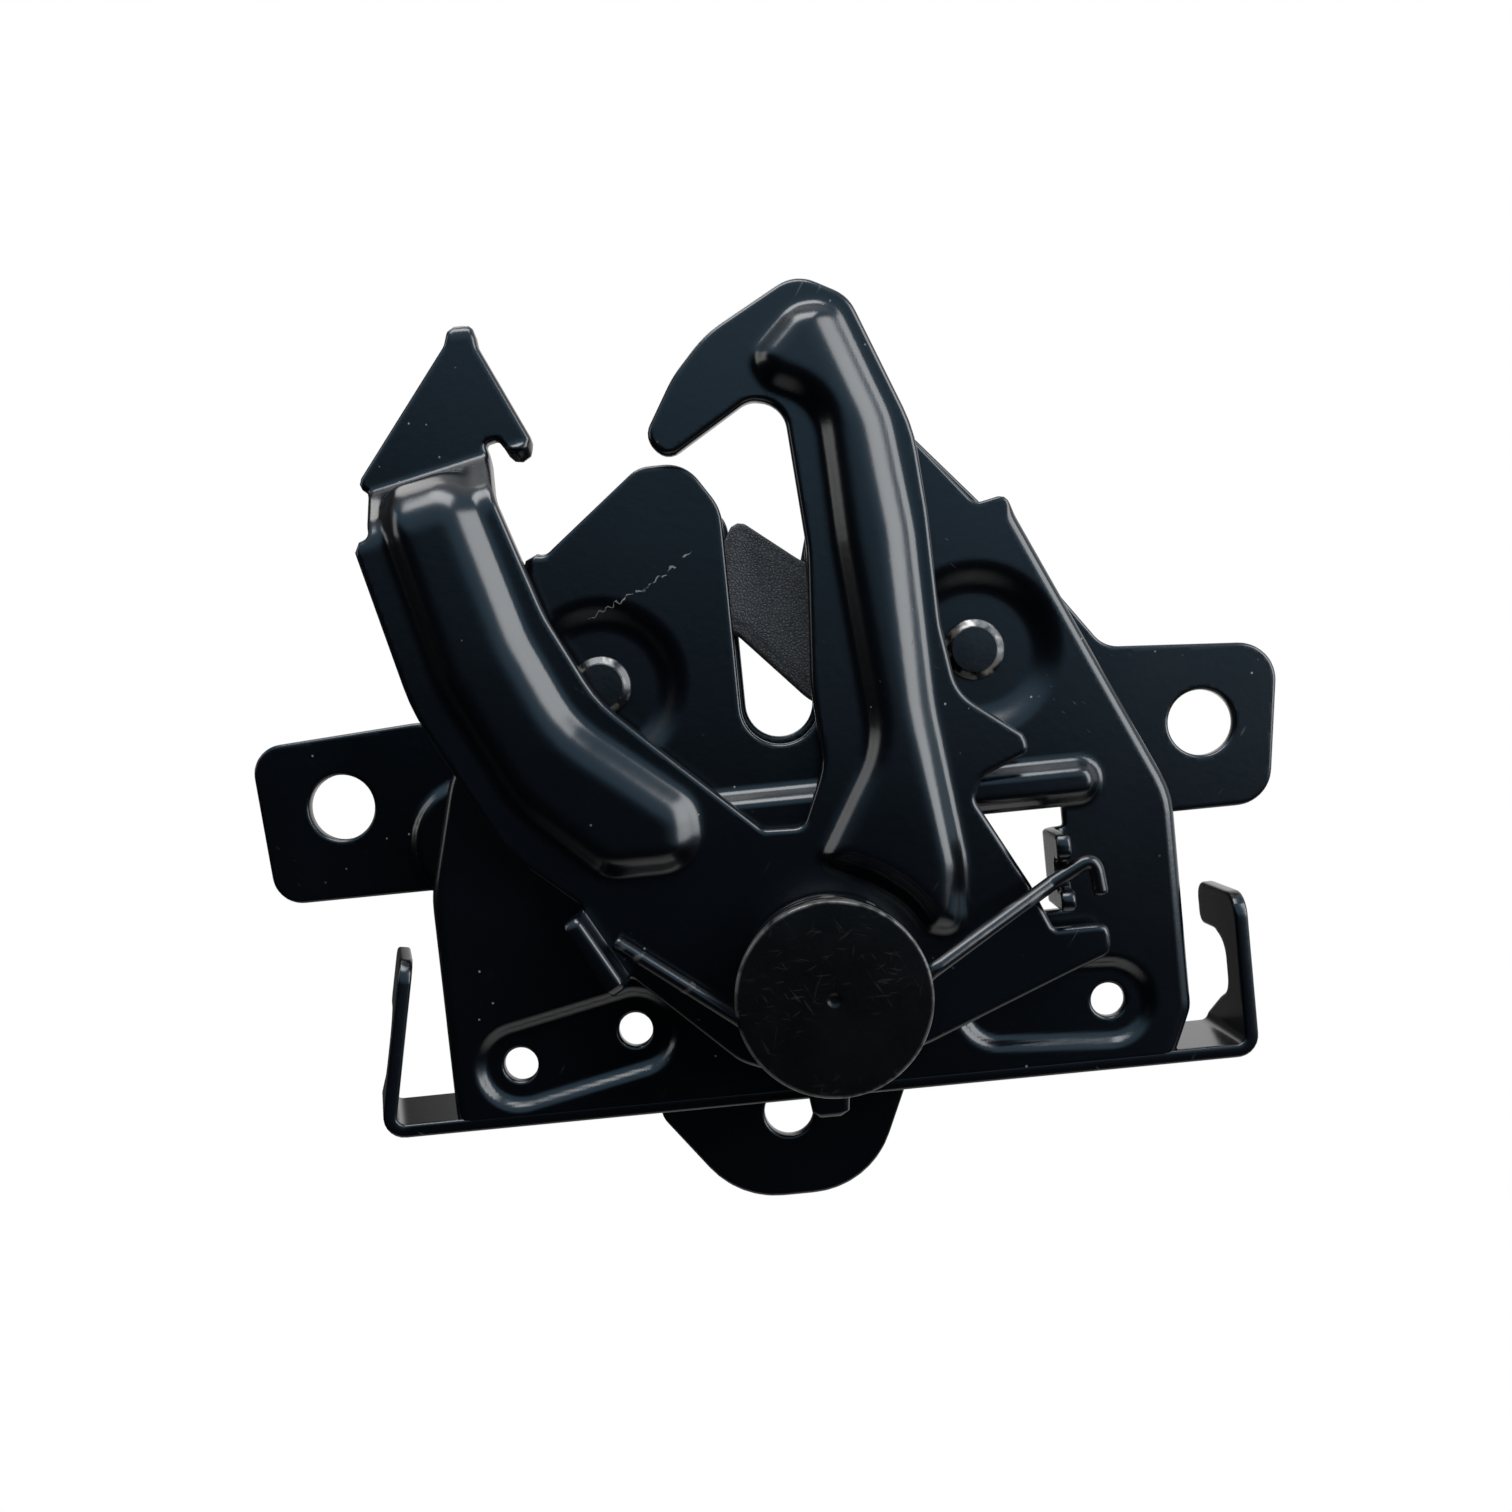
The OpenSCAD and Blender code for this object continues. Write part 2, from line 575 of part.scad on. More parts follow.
// Step that sets the finger tab back, as a profile in depth and height above the arm's end
step_a = 53;
step_rise = joggle_d / tan(step_a);
step_out = lever_t * tan(step_a / 2);
neck_in = 2.62;
neck_top = step_out + step_rise + 1.4;
tab_face = lever_face + joggle_d;
tab_back = lever_back + joggle_d;
bend_in = 2;
bend_out = bend_in + lever_t;
joggle_profile = [
    [lever_face, -1.5, 0], [lever_back, -1.5, 0], [lever_back, 0, bend_in], [tab_back, step_rise, bend_out],
    [tab_back, neck_top, 0], [tab_face, neck_top, 0], [tab_face, step_out + step_rise, bend_in],
    [lever_face, step_out, bend_out]];
finger_outline = [
    [-47.4, 40.9, 0.6], [-32, 44.2, 0.2], [-32.6, 45.2, 0.4], [-30.9, 45.6, 0.6], [-29.4, 43.2, 0.6],
    [-27.2, 42.6, 0.8], [-26.5, 45.2, 1.2], [-32.2, 57.7, 1.2], [-32.9, 60.9, 0.8], [-35.6, 60.9, 0.8],
    [-36.6, 58.2, 1.5], [-49.9, 41.4, 1.4]];

module safety_lever() {
    run = arm_right - arm_left;
    color(black)
    difference() {
        union() {
            difference() {
                slab(lever_outline, lever_face, lever_back);
                slab(inset(arm_rib, rib_wall), lever_face - 1, lever_back + 1);
                slab(inset(stem_rib, rib_wall), lever_face - 1, lever_back + 1);
            }
            pressing(arm_rib, rib_face, lever_back, rib_wall);
            pressing(stem_rib, rib_face, lever_back, rib_wall);
            slab(lug_outline, lever_face - lug_h, lever_back);
            translate([arm_left[0], 0, arm_left[1]])
                rotate([0, -atan2(run[1], run[0]), 0])
                    translate([neck_in, 0, 0])
                        rotate([90, 0, 90])
                            linear_extrude(norm(run) - neck_in)
                                polygon(rounded(joggle_profile));
            slab(finger_outline, tab_face, tab_back);
        }
        rod(lever_pin, journal_d / 2 + run_fit, lever_face - 1, lever_back + 1);
    }
}

// Pivot rivet: round head, guide for the coil, journal for the lever, neck and formed tail
guide_d = coil_d - wire_d - 1.2;
tail_h = 1.6;
module lever_rivet() {
    neck = journal_d / 2 - 1;
    color(grey)
    translate([lever_pin[0], 0, lever_pin[1]])
        rotate([90, 0, 0])
            rotate_extrude()
                polygon([
                    [0, -pad_back - tail_h], [neck + 1.2, -pad_back - tail_h],
                    [neck + 2.2, -pad_back - tail_h / 2], [neck + 2.2, -pad_back], [neck, -pad_back],
                    [neck, -pad_face], [journal_d / 2, -pad_face],
                    [journal_d / 2, side_gap - lever_face], [guide_d / 2, side_gap - lever_face],
                    [guide_d / 2, -cap_back], [cap_d / 2, -cap_back], [cap_d / 2, -cap_face - 0.3],
                    [cap_d / 2 - 0.3, -cap_face], [0, -cap_face]]);
}

// Torsion spring: free leg on the lever's lug, coil round the pivot, fixed leg in the notched tab
free_leg_a = 232;
free_leg = 25.5;
coil_segments = 28;
module lever_spring() {
    ring = coil_d / 2;
    sweep = 360 * (coil_turns + leg_turn);
    steps = ceil((coil_turns + leg_turn) * coil_segments);
    function round_coil(a) = lever_pin + polar(ring, a);
    function place(p, y) = [p[0], y, p[1]];
    leg_end = round_coil(free_leg_a) + polar(free_leg, free_leg_a - 90);
    coil = [for (k = [0 : steps])
        place(round_coil(free_leg_a + sweep * k / steps), coil_low + (coil_high - coil_low) * k / steps)];
    exit = round_coil(free_leg_a + sweep);
    notch = [tab_x + front_t / 2, tab_notch_z];
    bend = exit + polar(2.4, free_leg_a + sweep + 90);
    way = unit(notch - bend);
    reach = norm(notch - bend);
    turn = [for (t = [0.25 : 0.25 : 1])
        place(exit * (1 - t) * (1 - t) + bend * 2 * t * (1 - t) + (bend + way * 2.4) * t * t, coil_high)];
    past = notch + way * 2.6;
    leg = [for (p = [bend + way * (reach - 2), past, past + [1.4, -0.9], past + [1.8, -4.6]])
        place(p, leg_y)];
    color(grey)
        wire(concat([place(leg_end, coil_low)], coil, turn, leg), wire_d, 8);
}

base_plate();
front_plate();
claw();
pawl();
claw_rivet();
pawl_rivet();
claw_spring();
pawl_spring();
safety_lever();
lever_rivet();
lever_spring();
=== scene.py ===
# %% [markdown]
# # A bonnet latch in black dip coat
# The latch is a small box of pressed steel. A base plate with two ears is bolted to the car, a dished
# front plate is riveted in front of it, and a claw and a pawl turn between the two. In front of all that
# swings the safety lever, with a hook at its top and a finger tab at its left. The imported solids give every
# piece its place, in metres, with X to the right, Y away from the viewer and Z up. This script gives the
# pieces their pressed, rolled and folded surfaces and their finishes.

import bmesh
import bpy
import numpy as np
from mathutils import Matrix, Vector


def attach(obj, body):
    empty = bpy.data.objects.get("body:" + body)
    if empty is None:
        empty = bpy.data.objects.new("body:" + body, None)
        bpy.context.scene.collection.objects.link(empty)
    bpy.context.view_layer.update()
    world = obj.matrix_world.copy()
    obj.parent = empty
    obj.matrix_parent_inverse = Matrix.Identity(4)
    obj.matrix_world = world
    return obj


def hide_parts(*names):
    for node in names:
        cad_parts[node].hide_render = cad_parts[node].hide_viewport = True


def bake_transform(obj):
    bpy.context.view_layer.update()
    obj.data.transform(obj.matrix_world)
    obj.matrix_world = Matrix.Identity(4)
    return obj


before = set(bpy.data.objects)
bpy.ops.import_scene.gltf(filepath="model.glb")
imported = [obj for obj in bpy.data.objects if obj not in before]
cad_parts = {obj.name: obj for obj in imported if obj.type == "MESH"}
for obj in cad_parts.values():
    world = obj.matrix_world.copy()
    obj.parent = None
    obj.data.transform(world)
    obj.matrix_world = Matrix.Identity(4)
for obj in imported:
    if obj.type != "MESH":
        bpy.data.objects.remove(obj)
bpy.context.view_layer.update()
scene = bpy.context.scene
scene.view_settings.view_transform = "Standard"
MM = 0.001
print("solids:", sorted(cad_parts))

# %% [markdown]
# ## Camera
# The photograph was taken close to the latch, a little to the left of its middle and slightly from above,
# with the camera rolled by a few degrees. The direction in which the plates' normal vanishes and the roll
# of the row of ear bolts fix the camera's axes, so they are written here as those two measurements. A camera
# placed by eye would do for a picture, but the outlines would not fall where the photograph has them.

# %% Place the camera
focal_px, image_px = 1490.0, 1512.0
normal_px = np.array([9.0, -66.0])
roll = np.radians(5.69)
camera_at = (0.0003, -0.2018, 0.0101)
sensor_mm = 36.0
depth_axis = np.array([*(normal_px / focal_px), 1.0])
depth_axis /= np.linalg.norm(depth_axis)
level = np.array([np.cos(roll), -np.sin(roll), 0.0])
side_axis = level - depth_axis * (level @ depth_axis)
side_axis /= np.linalg.norm(side_axis)
up_axis = np.cross(side_axis, depth_axis)
to_object = np.stack([side_axis, depth_axis, up_axis])
turn = Matrix((to_object * np.array([1.0, -1.0, -1.0])).tolist())
lens = bpy.data.cameras.new("photo_lens")
lens.sensor_width = sensor_mm
lens.lens = sensor_mm * focal_px / image_px
lens.clip_start = 0.01
camera = bpy.data.objects.new("photo_camera", lens)
camera.matrix_world = Matrix.Translation(camera_at) @ turn.to_4x4()
scene.collection.objects.link(camera)
scene.camera = camera
print("camera", [round(x, 4) for x in camera.location], "lens", round(lens.lens, 2))

# %% [markdown]
# ## Outlines
# Every pressing starts as a flat blank with an outline of straight sides and rounded corners. A corner is
# written as its point and its radius, and the arc that touches both sides takes the corner's place. The
# distance from any point to the nearest side then tells what lies inside the blank and how far from its edge.


# %% Outline helpers
def rounded(corners, turn_deg=9.0, flat_deg=177.0):
    """Closed loop through [x, z, radius] corners. At each corner the arc's start lies radius / tan(half the
    corner's angle) from it, and the arc turns through 180 degrees less that angle. Corners without a radius,
    and those flatter than flat_deg, stay points."""
    corners = np.array(corners, float)
    parts = []
    for before, here, after in zip(np.roll(corners, 1, 0), corners, np.roll(corners, -1, 0)):
        u, v = before[:2] - here[:2], after[:2] - here[:2]
        u, v = u / np.linalg.norm(u), v / np.linalg.norm(v)
        half = np.arccos(np.clip(u @ v, -1, 1)) / 2
        if here[2] <= 0 or half > np.radians(flat_deg / 2):
            parts.append(here[None, :2])
            continue
        start = u * here[2] / np.tan(half)
        centre = (u + v) / np.linalg.norm(u + v) * here[2] / np.sin(half)
        sweep = (np.pi - 2 * half) * np.sign(u[1] * v[0] - u[0] * v[1])
        a = np.linspace(0, sweep, max(3, int(np.ceil(abs(sweep) / np.radians(turn_deg)))) + 1)
        arm = start - centre
        arc = np.stack([arm[0] * np.cos(a) - arm[1] * np.sin(a), arm[0] * np.sin(a) + arm[1] * np.cos(a)], 1)
        parts.append(here[:2] + centre + arc)
    return np.concatenate(parts)


def circle(centre, radius, sides=72):
    """Loop of points at one distance from a centre."""
    a = np.linspace(0, 2 * np.pi, sides, endpoint=False)
    return np.asarray(centre, float) + radius * np.stack([np.cos(a), np.sin(a)], 1)


def inside_distance(points, loop):
    """Distance to the loop's nearest side, positive inside, and the nearest point. A point is inside if a
    line drawn from it to the right crosses the loop an odd number of times."""
    best = np.full(len(points), np.inf)
    nearest = np.zeros_like(points)
    odd = np.zeros(len(points), bool)
    for a, b in zip(loop, np.roll(loop, -1, 0)):
        run = b - a
        share = np.clip((points - a) @ run / max(run @ run, 1e-12), 0, 1)
        foot = a + share[:, None] * run
        gap = np.hypot(*(points - foot).T)
        closer = gap < best
        best[closer] = gap[closer]
        nearest[closer] = foot[closer]
        if a[1] != b[1]:
            spans = (a[1] > points[:, 1]) != (b[1] > points[:, 1])
            odd ^= spans & (points[:, 0] < a[0] + (points[:, 1] - a[1]) * run[0] / run[1])
    return np.where(odd, best, -best), nearest


def smooth(x):
    """Smooth step: 0 below 0, 1 above 1, and 3x squared less 2x cubed between."""
    x = np.clip(x, 0, 1)
    return x * x * (3 - 2 * x)


# %% [markdown]
# ## Pressed sheet
# A pressed plate is a height over its blank: ribs, dishes and pads lift or sink the sheet smoothly. It could
# be a box with a bevel, but then every rib would have hard edges. Here a square grid is laid over the blank,
# the cells that the edge cuts are trimmed where the edge distance passes the roll radius, and a strip with a
# rounded profile closes the rim from the front face to the back, as a die leaves it.


# %% Mesh helpers
def make_piece(name, points_mm, faces):
    """Mesh object from points in millimetres and lists of corner numbers, shaded smooth."""
    mesh = bpy.data.meshes.new(name)
    mesh.from_pydata((np.asarray(points_mm) * MM).tolist(), [], faces)
    mesh.shade_smooth()
    mesh.validate()
    made = bpy.data.objects.new(name, mesh)
    scene.collection.objects.link(made)
    print(name, len(mesh.vertices), "points", len(mesh.polygons), "faces")
    return made


def weld(made, gap=1e-6, turn_out=False):
    """Merges points closer than the gap, in metres, and turns the faces outwards where asked."""
    work = bmesh.new()
    work.from_mesh(made.data)
    bmesh.ops.remove_doubles(work, verts=work.verts, dist=gap)
    if turn_out:
        bmesh.ops.recalc_face_normals(work, faces=work.faces)
    work.to_mesh(made.data)
    work.free()


# %% Trimmed grid
def blank_distance(points, loops):
    """Distance to the nearest edge of a blank with holes, the nearest point on that edge, and the distance to
    the outer edge alone. The first loop is the outer edge and the others are holes."""
    outer, foot = inside_distance(points, loops[0])
    near = outer
    for hole in loops[1:]:
        d, q = inside_distance(points, hole)
        closer = -d < near
        near = np.where(closer, -d, near)
        foot[closer] = q[closer]
    return near, foot, outer


def trimmed_grid(loops, edge, step):
    """Square cells over a blank, trimmed where the distance to its edge equals the roll radius. The level is
    the distance less the radius, and a cell's side with levels a and b of opposite sign is cut at the share
    a / (a - b). Gives the points, how many are grid points, the polygons and the sides along the rim."""
    low, high = loops[0].min(0) - step, loops[0].max(0) + step
    xs, zs = np.arange(low[0], high[0] + step, step), np.arange(low[1], high[1] + step, step)
    grid_x, grid_z = np.meshgrid(xs, zs, indexing="ij")
    nodes = np.stack([grid_x, grid_z], -1)
    near, _, outer = blank_distance(nodes.reshape(-1, 2), loops)
    level = (near - edge(nodes.reshape(-1, 2), outer)).reshape(grid_x.shape)
    inside = level > 0
    count = int(inside.sum())
    corner_id = np.full(level.shape, -1)
    corner_id[inside] = np.arange(count)
    cut_x, cut_z = inside[:-1] != inside[1:], inside[:, :-1] != inside[:, 1:]
    share_x = (level[:-1] / np.where(cut_x, level[:-1] - level[1:], 1))[..., None]
    share_z = (level[:, :-1] / np.where(cut_z, level[:, :-1] - level[:, 1:], 1))[..., None]
    on_x = (nodes[:-1] + share_x * (nodes[1:] - nodes[:-1]))[cut_x]
    on_z = (nodes[:, :-1] + share_z * (nodes[:, 1:] - nodes[:, :-1]))[cut_z]
    x_id, z_id = np.full(cut_x.shape, -1), np.full(cut_z.shape, -1)
    x_id[cut_x] = count + np.arange(len(on_x))
    z_id[cut_z] = count + len(on_x) + np.arange(len(on_z))
    walk = np.stack([corner_id[:-1, :-1], x_id[:, :-1], corner_id[1:, :-1], z_id[1:], corner_id[1:, 1:],
                     x_id[:, 1:], corner_id[:-1, 1:], z_id[:-1]], -1).reshape(-1, 8)
    used = (walk >= 0).sum(1)
    polygons, rim = [], []
    for sides in range(3, 7):
        rows = walk[used == sides]
        rows = rows[rows >= 0].reshape(-1, sides)
        following = np.roll(rows, -1, 1)
        both = (rows >= count) & (following >= count)
        rim.append(np.stack([rows[both], following[both]], 1) - count)
        polygons.append(rows)
    return np.concatenate([nodes[inside], on_x, on_z]), count, polygons, np.concatenate(rim)


# %% Sheet builder
def pressed_sheet(name, loops, front, back, edge, step, place=None, back_edge=0.4):
    """Closed sheet over the first loop less the others. front and back give the depth of each face from the
    point and its distance to the outer loop, edge gives the roll radius there, and place moves the points.
    The rim turns a quarter circle of the roll radius from the front, and one of back_edge at the back."""
    flat, count, polygons, rim = trimmed_grid(loops, edge, step)
    total = len(flat)
    _, foot, outer = blank_distance(flat, loops)
    y_front, y_back = front(flat, outer), back(flat, outer)
    rim_points, rim_foot = flat[count:], foot[count:]
    reach = np.hypot(*(rim_foot - rim_points).T)
    outward = (rim_foot - rim_points) / np.maximum(reach, 1e-9)[:, None]
    back_roll = np.minimum(reach, back_edge)
    rings = [(reach * np.sin(a), y_front[count:] + reach * (1 - np.cos(a)))
             for a in np.radians([22.5, 45, 67.5, 90])]
    rings += [(reach - back_roll * (1 - np.sin(a)), y_back[count:] - back_roll * (1 - np.cos(a)))
              for a in np.radians([90, 60, 30, 0])]
    solid = [np.stack([flat[:, 0], y_front, flat[:, 1]], 1), np.stack([flat[:, 0], y_back, flat[:, 1]], 1)]
    columns = [count + np.arange(len(rim_points))]
    for k, (shift, y) in enumerate(rings):
        p = rim_points + outward * shift[:, None]
        solid.append(np.stack([p[:, 0], y, p[:, 1]], 1))
        columns.append(2 * total + k * len(rim_points) + np.arange(len(rim_points)))
    columns.append(total + columns[0])
    faces = [f for rows in polygons for f in rows.tolist()]
    faces += [f for rows in polygons for f in (rows[:, ::-1] + total).tolist()]
    for here, there in zip(columns, columns[1:]):
        a, b = rim[:, 0], rim[:, 1]
        faces += np.stack([here[b], here[a], there[a], there[b]], 1).tolist()
    points = np.concatenate(solid)
    made = make_piece(name, points if place is None else place(points), faces)
    weld(made)
    return made


def plain_edge(radius):
    """The same roll radius all along a rim."""
    return lambda points, outer: np.full(len(points), radius)


# %% [markdown]
# ## Folds
# Tabs and lugs are folded out of the flat blank in a press brake. A fold carries the sheet along a path of
# bends and straights: a point that lay a distance beyond the fold line moves to that length along the path,
# and the sheet's thickness follows the path's normal. Boxes set at an angle would leave a seam at each bend,
# while the folded sheet stays one skin and keeps its true length.


# %% Fold helper
def fold(points, origin, outwards, span, middle, bends, reach=60.0, samples=6000):
    """Carries what lies beyond a fold line along a path. bends are (degrees, radius, straight length after),
    positive towards the back. Distance along the path gives place and angle; depth follows the normal. Only
    points within the span along the line, and within reach beyond it, are moved."""
    outwards = np.asarray(outwards, float) / np.linalg.norm(outwards)
    along = np.array([outwards[1], -outwards[0]])
    length, angle = [0.0], [0.0]
    for degrees, radius, straight in bends:
        length += [length[-1] + abs(np.radians(degrees)) * radius]
        angle += [angle[-1] + np.radians(degrees)]
        length += [length[-1] + max(straight, 1e-6)]
        angle += [angle[-1]]
    s = np.linspace(0, length[-1] + reach, samples)
    heading = np.interp(s, length, angle)
    mid_heading = (heading[1:] + heading[:-1]) / 2
    run = np.concatenate([[0], np.cumsum(np.cos(mid_heading) * np.diff(s))])
    rise = np.concatenate([[0], np.cumsum(np.sin(mid_heading) * np.diff(s))])
    offset = points[:, [0, 2]] - np.asarray(origin, float)
    beyond, across = offset @ outwards, offset @ along
    moved = (beyond > 0) & (beyond < reach) & (across > span[0]) & (across < span[1])
    d = beyond[moved]
    phi, w, h = np.interp(d, s, heading), np.interp(d, s, run), np.interp(d, s, rise)
    thick = points[moved, 1] - middle
    plane = (np.asarray(origin) + across[moved, None] * along
             + (w - np.sin(phi) * thick)[:, None] * outwards)
    out = points.copy()
    out[moved, 0], out[moved, 2] = plane[:, 0], plane[:, 1]
    out[moved, 1] = middle + h + np.cos(phi) * thick
    return out


# %% [markdown]
# ## Shared sizes
# The sizes below repeat those of the solids, in millimetres, so that each surface lies where its solid is.

# %% Sizes
claw_pin, pawl_pin, lever_pin = np.array([27.4, 12.6]), np.array([-20.6, 12.6]), np.array([4.8, -26.7])
front_face, front_back = -11.8, -10.0
front_sheet, lever_sheet, base_sheet = 1.8, 2.3, 2.0
lever_face, lever_back, rib_height = -16.4, -14.1, 2.2
pad_height, dish_depth, boss_height = 2.0, 1.6, 1.5
plate_low, flange_back, side_flange_back = -43.0, 3.2, -3.3
slot_left, slot_right, slot_floor = -3.0, 7.0, 3.0
wire_d, coil_r = 1.9, 10.2
rivet_hole_r, pivot_hole_r, lever_bore_r, claw_bore_r = 3.05, 5.05, 6.05, 5.05
rivet_pins = (claw_pin, pawl_pin)
print("sheet thickness: front plate", front_sheet, "lever", lever_sheet, "base plate", base_sheet, "mm")

# %% [markdown]
# ## Safety lever
# The lever is one blank: an arm on the left that ends in a finger tab, a stem on the right that ends in a
# hook, a spring lobe and a short tail. Two ribs are pressed into it, the finger tab is set back by a double
# bend, and a lug is folded forwards at the lower left for the spring to push on. Separate bars could stand
# for all that, but a blank that is first pressed and then folded gets its edges and bends as the real one
# does.

# %% Lever blank
arm_left, arm_right = np.array([-49.0, 32.92]), np.array([-30.7, 36.8])
arm_along = (arm_right - arm_left) / np.linalg.norm(arm_right - arm_left)
arm_up = np.array([-arm_along[1], arm_along[0]])
step_angle, step_depth, top_bend, tab_bend_r = 53.0, 8.0, 4.0, 2.5
step_turn = np.radians(step_angle)
step_straight = (step_depth - (top_bend + tab_bend_r) * (1 - np.cos(step_turn))) / np.sin(step_turn)
step_length = (top_bend + tab_bend_r) * step_turn + step_straight
step_rise = (top_bend + tab_bend_r) * np.sin(step_turn) + step_straight * np.cos(step_turn)
step_line = arm_left + arm_up * (lever_sheet / 2 - top_bend) * np.tan(step_turn / 2)
finger = np.array([
    [-32.3, 44.2, 0.3], [-32.6, 45.2, 0.5], [-30.9, 45.6, 0.6], [-29.4, 43.2, 0.6], [-27.2, 42.6, 0.8],
    [-26.5, 45.2, 1.2], [-32.2, 57.7, 1.2], [-32.5, 60.3, 1.2], [-35.8, 60.3, 1.2], [-36.6, 58.2, 1.5],
    [-49.9, 41.4, 1.2], [-48.4, 40.5, 0.6]])
finger[:, :2] += arm_up * (step_length - step_rise)
tip_fold, tip_turn, tip_bend_r = 1.3, 60, 1.2
tip_line = finger[7, :2] - np.array([0, tip_fold])
lug_high, lug_low = np.array([-25.05, -14.93]), np.array([-19.85, -24.33])
lug_out = np.array([-0.875, -0.484])
lug_reach, lug_bend_r = 7.3, 1.3
lug_tip_high, lug_tip_low = lug_high + lug_out * lug_reach, lug_low + lug_out * lug_reach
lever_blank = rounded([
    [1.1, -44.3, 0.8], [5.6, -44.3, 0.8], [6.2, -39.6, 1.5], [17, -36, 6], [35.5, -28.8, 3],
    [40.4, -27, 1.8], [40.3, -23.2, 1.2], [33.4, -23.2, 0.8], [31, -17.4, 2], [25, -6.1, 1.6],
    [26.3, -3.4, 1.6], [32.4, -0.9, 1.2], [32, 1.4, 1.4], [24.2, 7.4, 6], [22.9, 16, 12], [22.6, 30, 20],
    [21.8, 40.5, 20], [15.3, 57.4, 5], [9, 60.8, 5], [-2.8, 54.5, 14], [-7.3, 49.7, 14], [-11.6, 42.6, 2.4],
    [-9, 39.5, 2.2], [1.8, 45.9, 3], [6, 45, 3.6], [7.2, 26.8, 20], [6, 10, 20], [6.6, 0, 8],
    [3.4, -7.4, 1.6], [-1.6, -7.2, 1.4], [-14, 4.6, 20], [-20.6, 11, 16], [-26, 22, 20],
    [*arm_right, 0.8], *finger, [-46.9, 33.6, 0.8], [*arm_left, 0.8],
    [-43.9, 11.8, 25], [-34.6, -6, 8], [-31.4, -9.4, 5], [*lug_high, 0.6], [*lug_tip_high, 1],
    [*lug_tip_low, 1], [*lug_low, 0.6], [-7.5, -36.2, 6], [0.5, -39.6, 1.5]])
print("lever blank", len(lever_blank), "points")

# %% [markdown]
# ## Ribs of the lever
# Each rib has a steep side and a gentle one. Two loops give that: the rib's own outline, from which it rises
# steeply, and a flank loop that follows only the gentle side and runs far past the blank elsewhere. The lower
# of the two heights holds, and a softening of the whole relief rounds it as a die does.

# %% Rib outlines
rib_over, flank_over = 9.0, 40.0
arm_rib_left, arm_rib_right = np.array([-44.8, 33.7]), np.array([-33.4, 36.6])
arm_rib = rounded([
    [*(arm_rib_left + arm_up * rib_over), 0.4], [*arm_rib_left, 0.4], [-40, 14, 16], [-32.4, -1.4, 14],
    [-22, -11.4, 5], [-9.6, -11.4, 5], [-9.8, -3, 4.6], [-23.8, 8.6, 14], [-28.7, 19.6, 16],
    [*arm_rib_right, 0.4], [*(arm_rib_right + arm_up * rib_over), 0.4]])
arm_flank = rounded([
    [-90, 0, 0], [-22, -60, 0], [-9.6, -11.4, 5], [-9.8, -3, 4.6], [-23.8, 8.6, 14],
    [-28.7, 19.6, 16], [*arm_rib_right, 0.4], [*(arm_rib_right + arm_up * flank_over), 0.4], [-90, 80, 0]])
stem_rib = rounded([
    [4.4, -12, 1.6], [11, -15, 6], [15.2, -18, 10], [17.4, -22, 1.5], [21.8, -23, 2.2], [22.8, -14, 10],
    [20.6, 6, 30], [20.2, 28, 24], [18.6, 42, 14], [13.2, 56.8, 4], [8, 56.6, 4], [2.2, 51, 2.6],
    [4, 47.4, 2.6], [10, 44.6, 6], [10.7, 27, 20], [12.8, 2, 12]])
stem_flank = rounded([
    [20, -60, 0], [21.8, -23, 2.2], [22.8, -14, 10], [20.6, 6, 30], [20.2, 28, 24], [18.6, 42, 14],
    [13.2, 56.8, 4], [8, 75, 0], [-60, 75, 0], [-60, -60, 0]])
steep_ramp, arm_ramp, stem_ramp, foot_ramp = 3.0, 4.4, 4.6, 3.0
foot_low, foot_run = -20, 45
arm_width, run_out, run_out_length = 26, 4, 5
rib_grid, rib_soft = 0.2, 0.42
print("rib outlines", len(arm_rib), "and", len(stem_rib), "points")


# %% Lever surface
def crown(x):
    """Side of a pressed rib: 0 below 0 with a crease there, then 1 less (1 - x) squared, and 1 above 1."""
    return 1 - (1 - np.clip(x, 0, 1)) ** 2


def softened(height, low, high, step, width):
    """A height field as a die leaves it: read off a square grid on which every value is an average of its
    neighbours, weighted by a bell curve of the given width. Between grid points the value is interpolated."""
    low = np.asarray(low, float)
    axes = [np.arange(a, b + step, step) for a, b in zip(low, high)]
    grid = np.stack(np.meshgrid(*axes, indexing="ij"), -1)
    values = height(grid.reshape(-1, 2)).reshape(grid.shape[:2])
    reach = np.arange(-3 * width, 3 * width + step / 2, step)
    bell = np.exp(-0.5 * (reach / width) ** 2)
    bell /= bell.sum()
    for axis in (0, 1):
        pads = [(len(bell) // 2,) * 2 if k == axis else (0, 0) for k in (0, 1)]
        windows = np.lib.stride_tricks.sliding_window_view(np.pad(values, pads, "edge"), len(bell), axis)
        values = windows @ bell

    def read(points):
        place = np.clip((points - low) / step, 0, np.array(values.shape) - 1.001)
        i, j = place.astype(int).T
        u, v = (place - np.floor(place)).T
        return ((1 - u) * (1 - v) * values[i, j] + u * (1 - v) * values[i + 1, j]
                + (1 - u) * v * values[i, j + 1] + u * v * values[i + 1, j + 1])

    return read


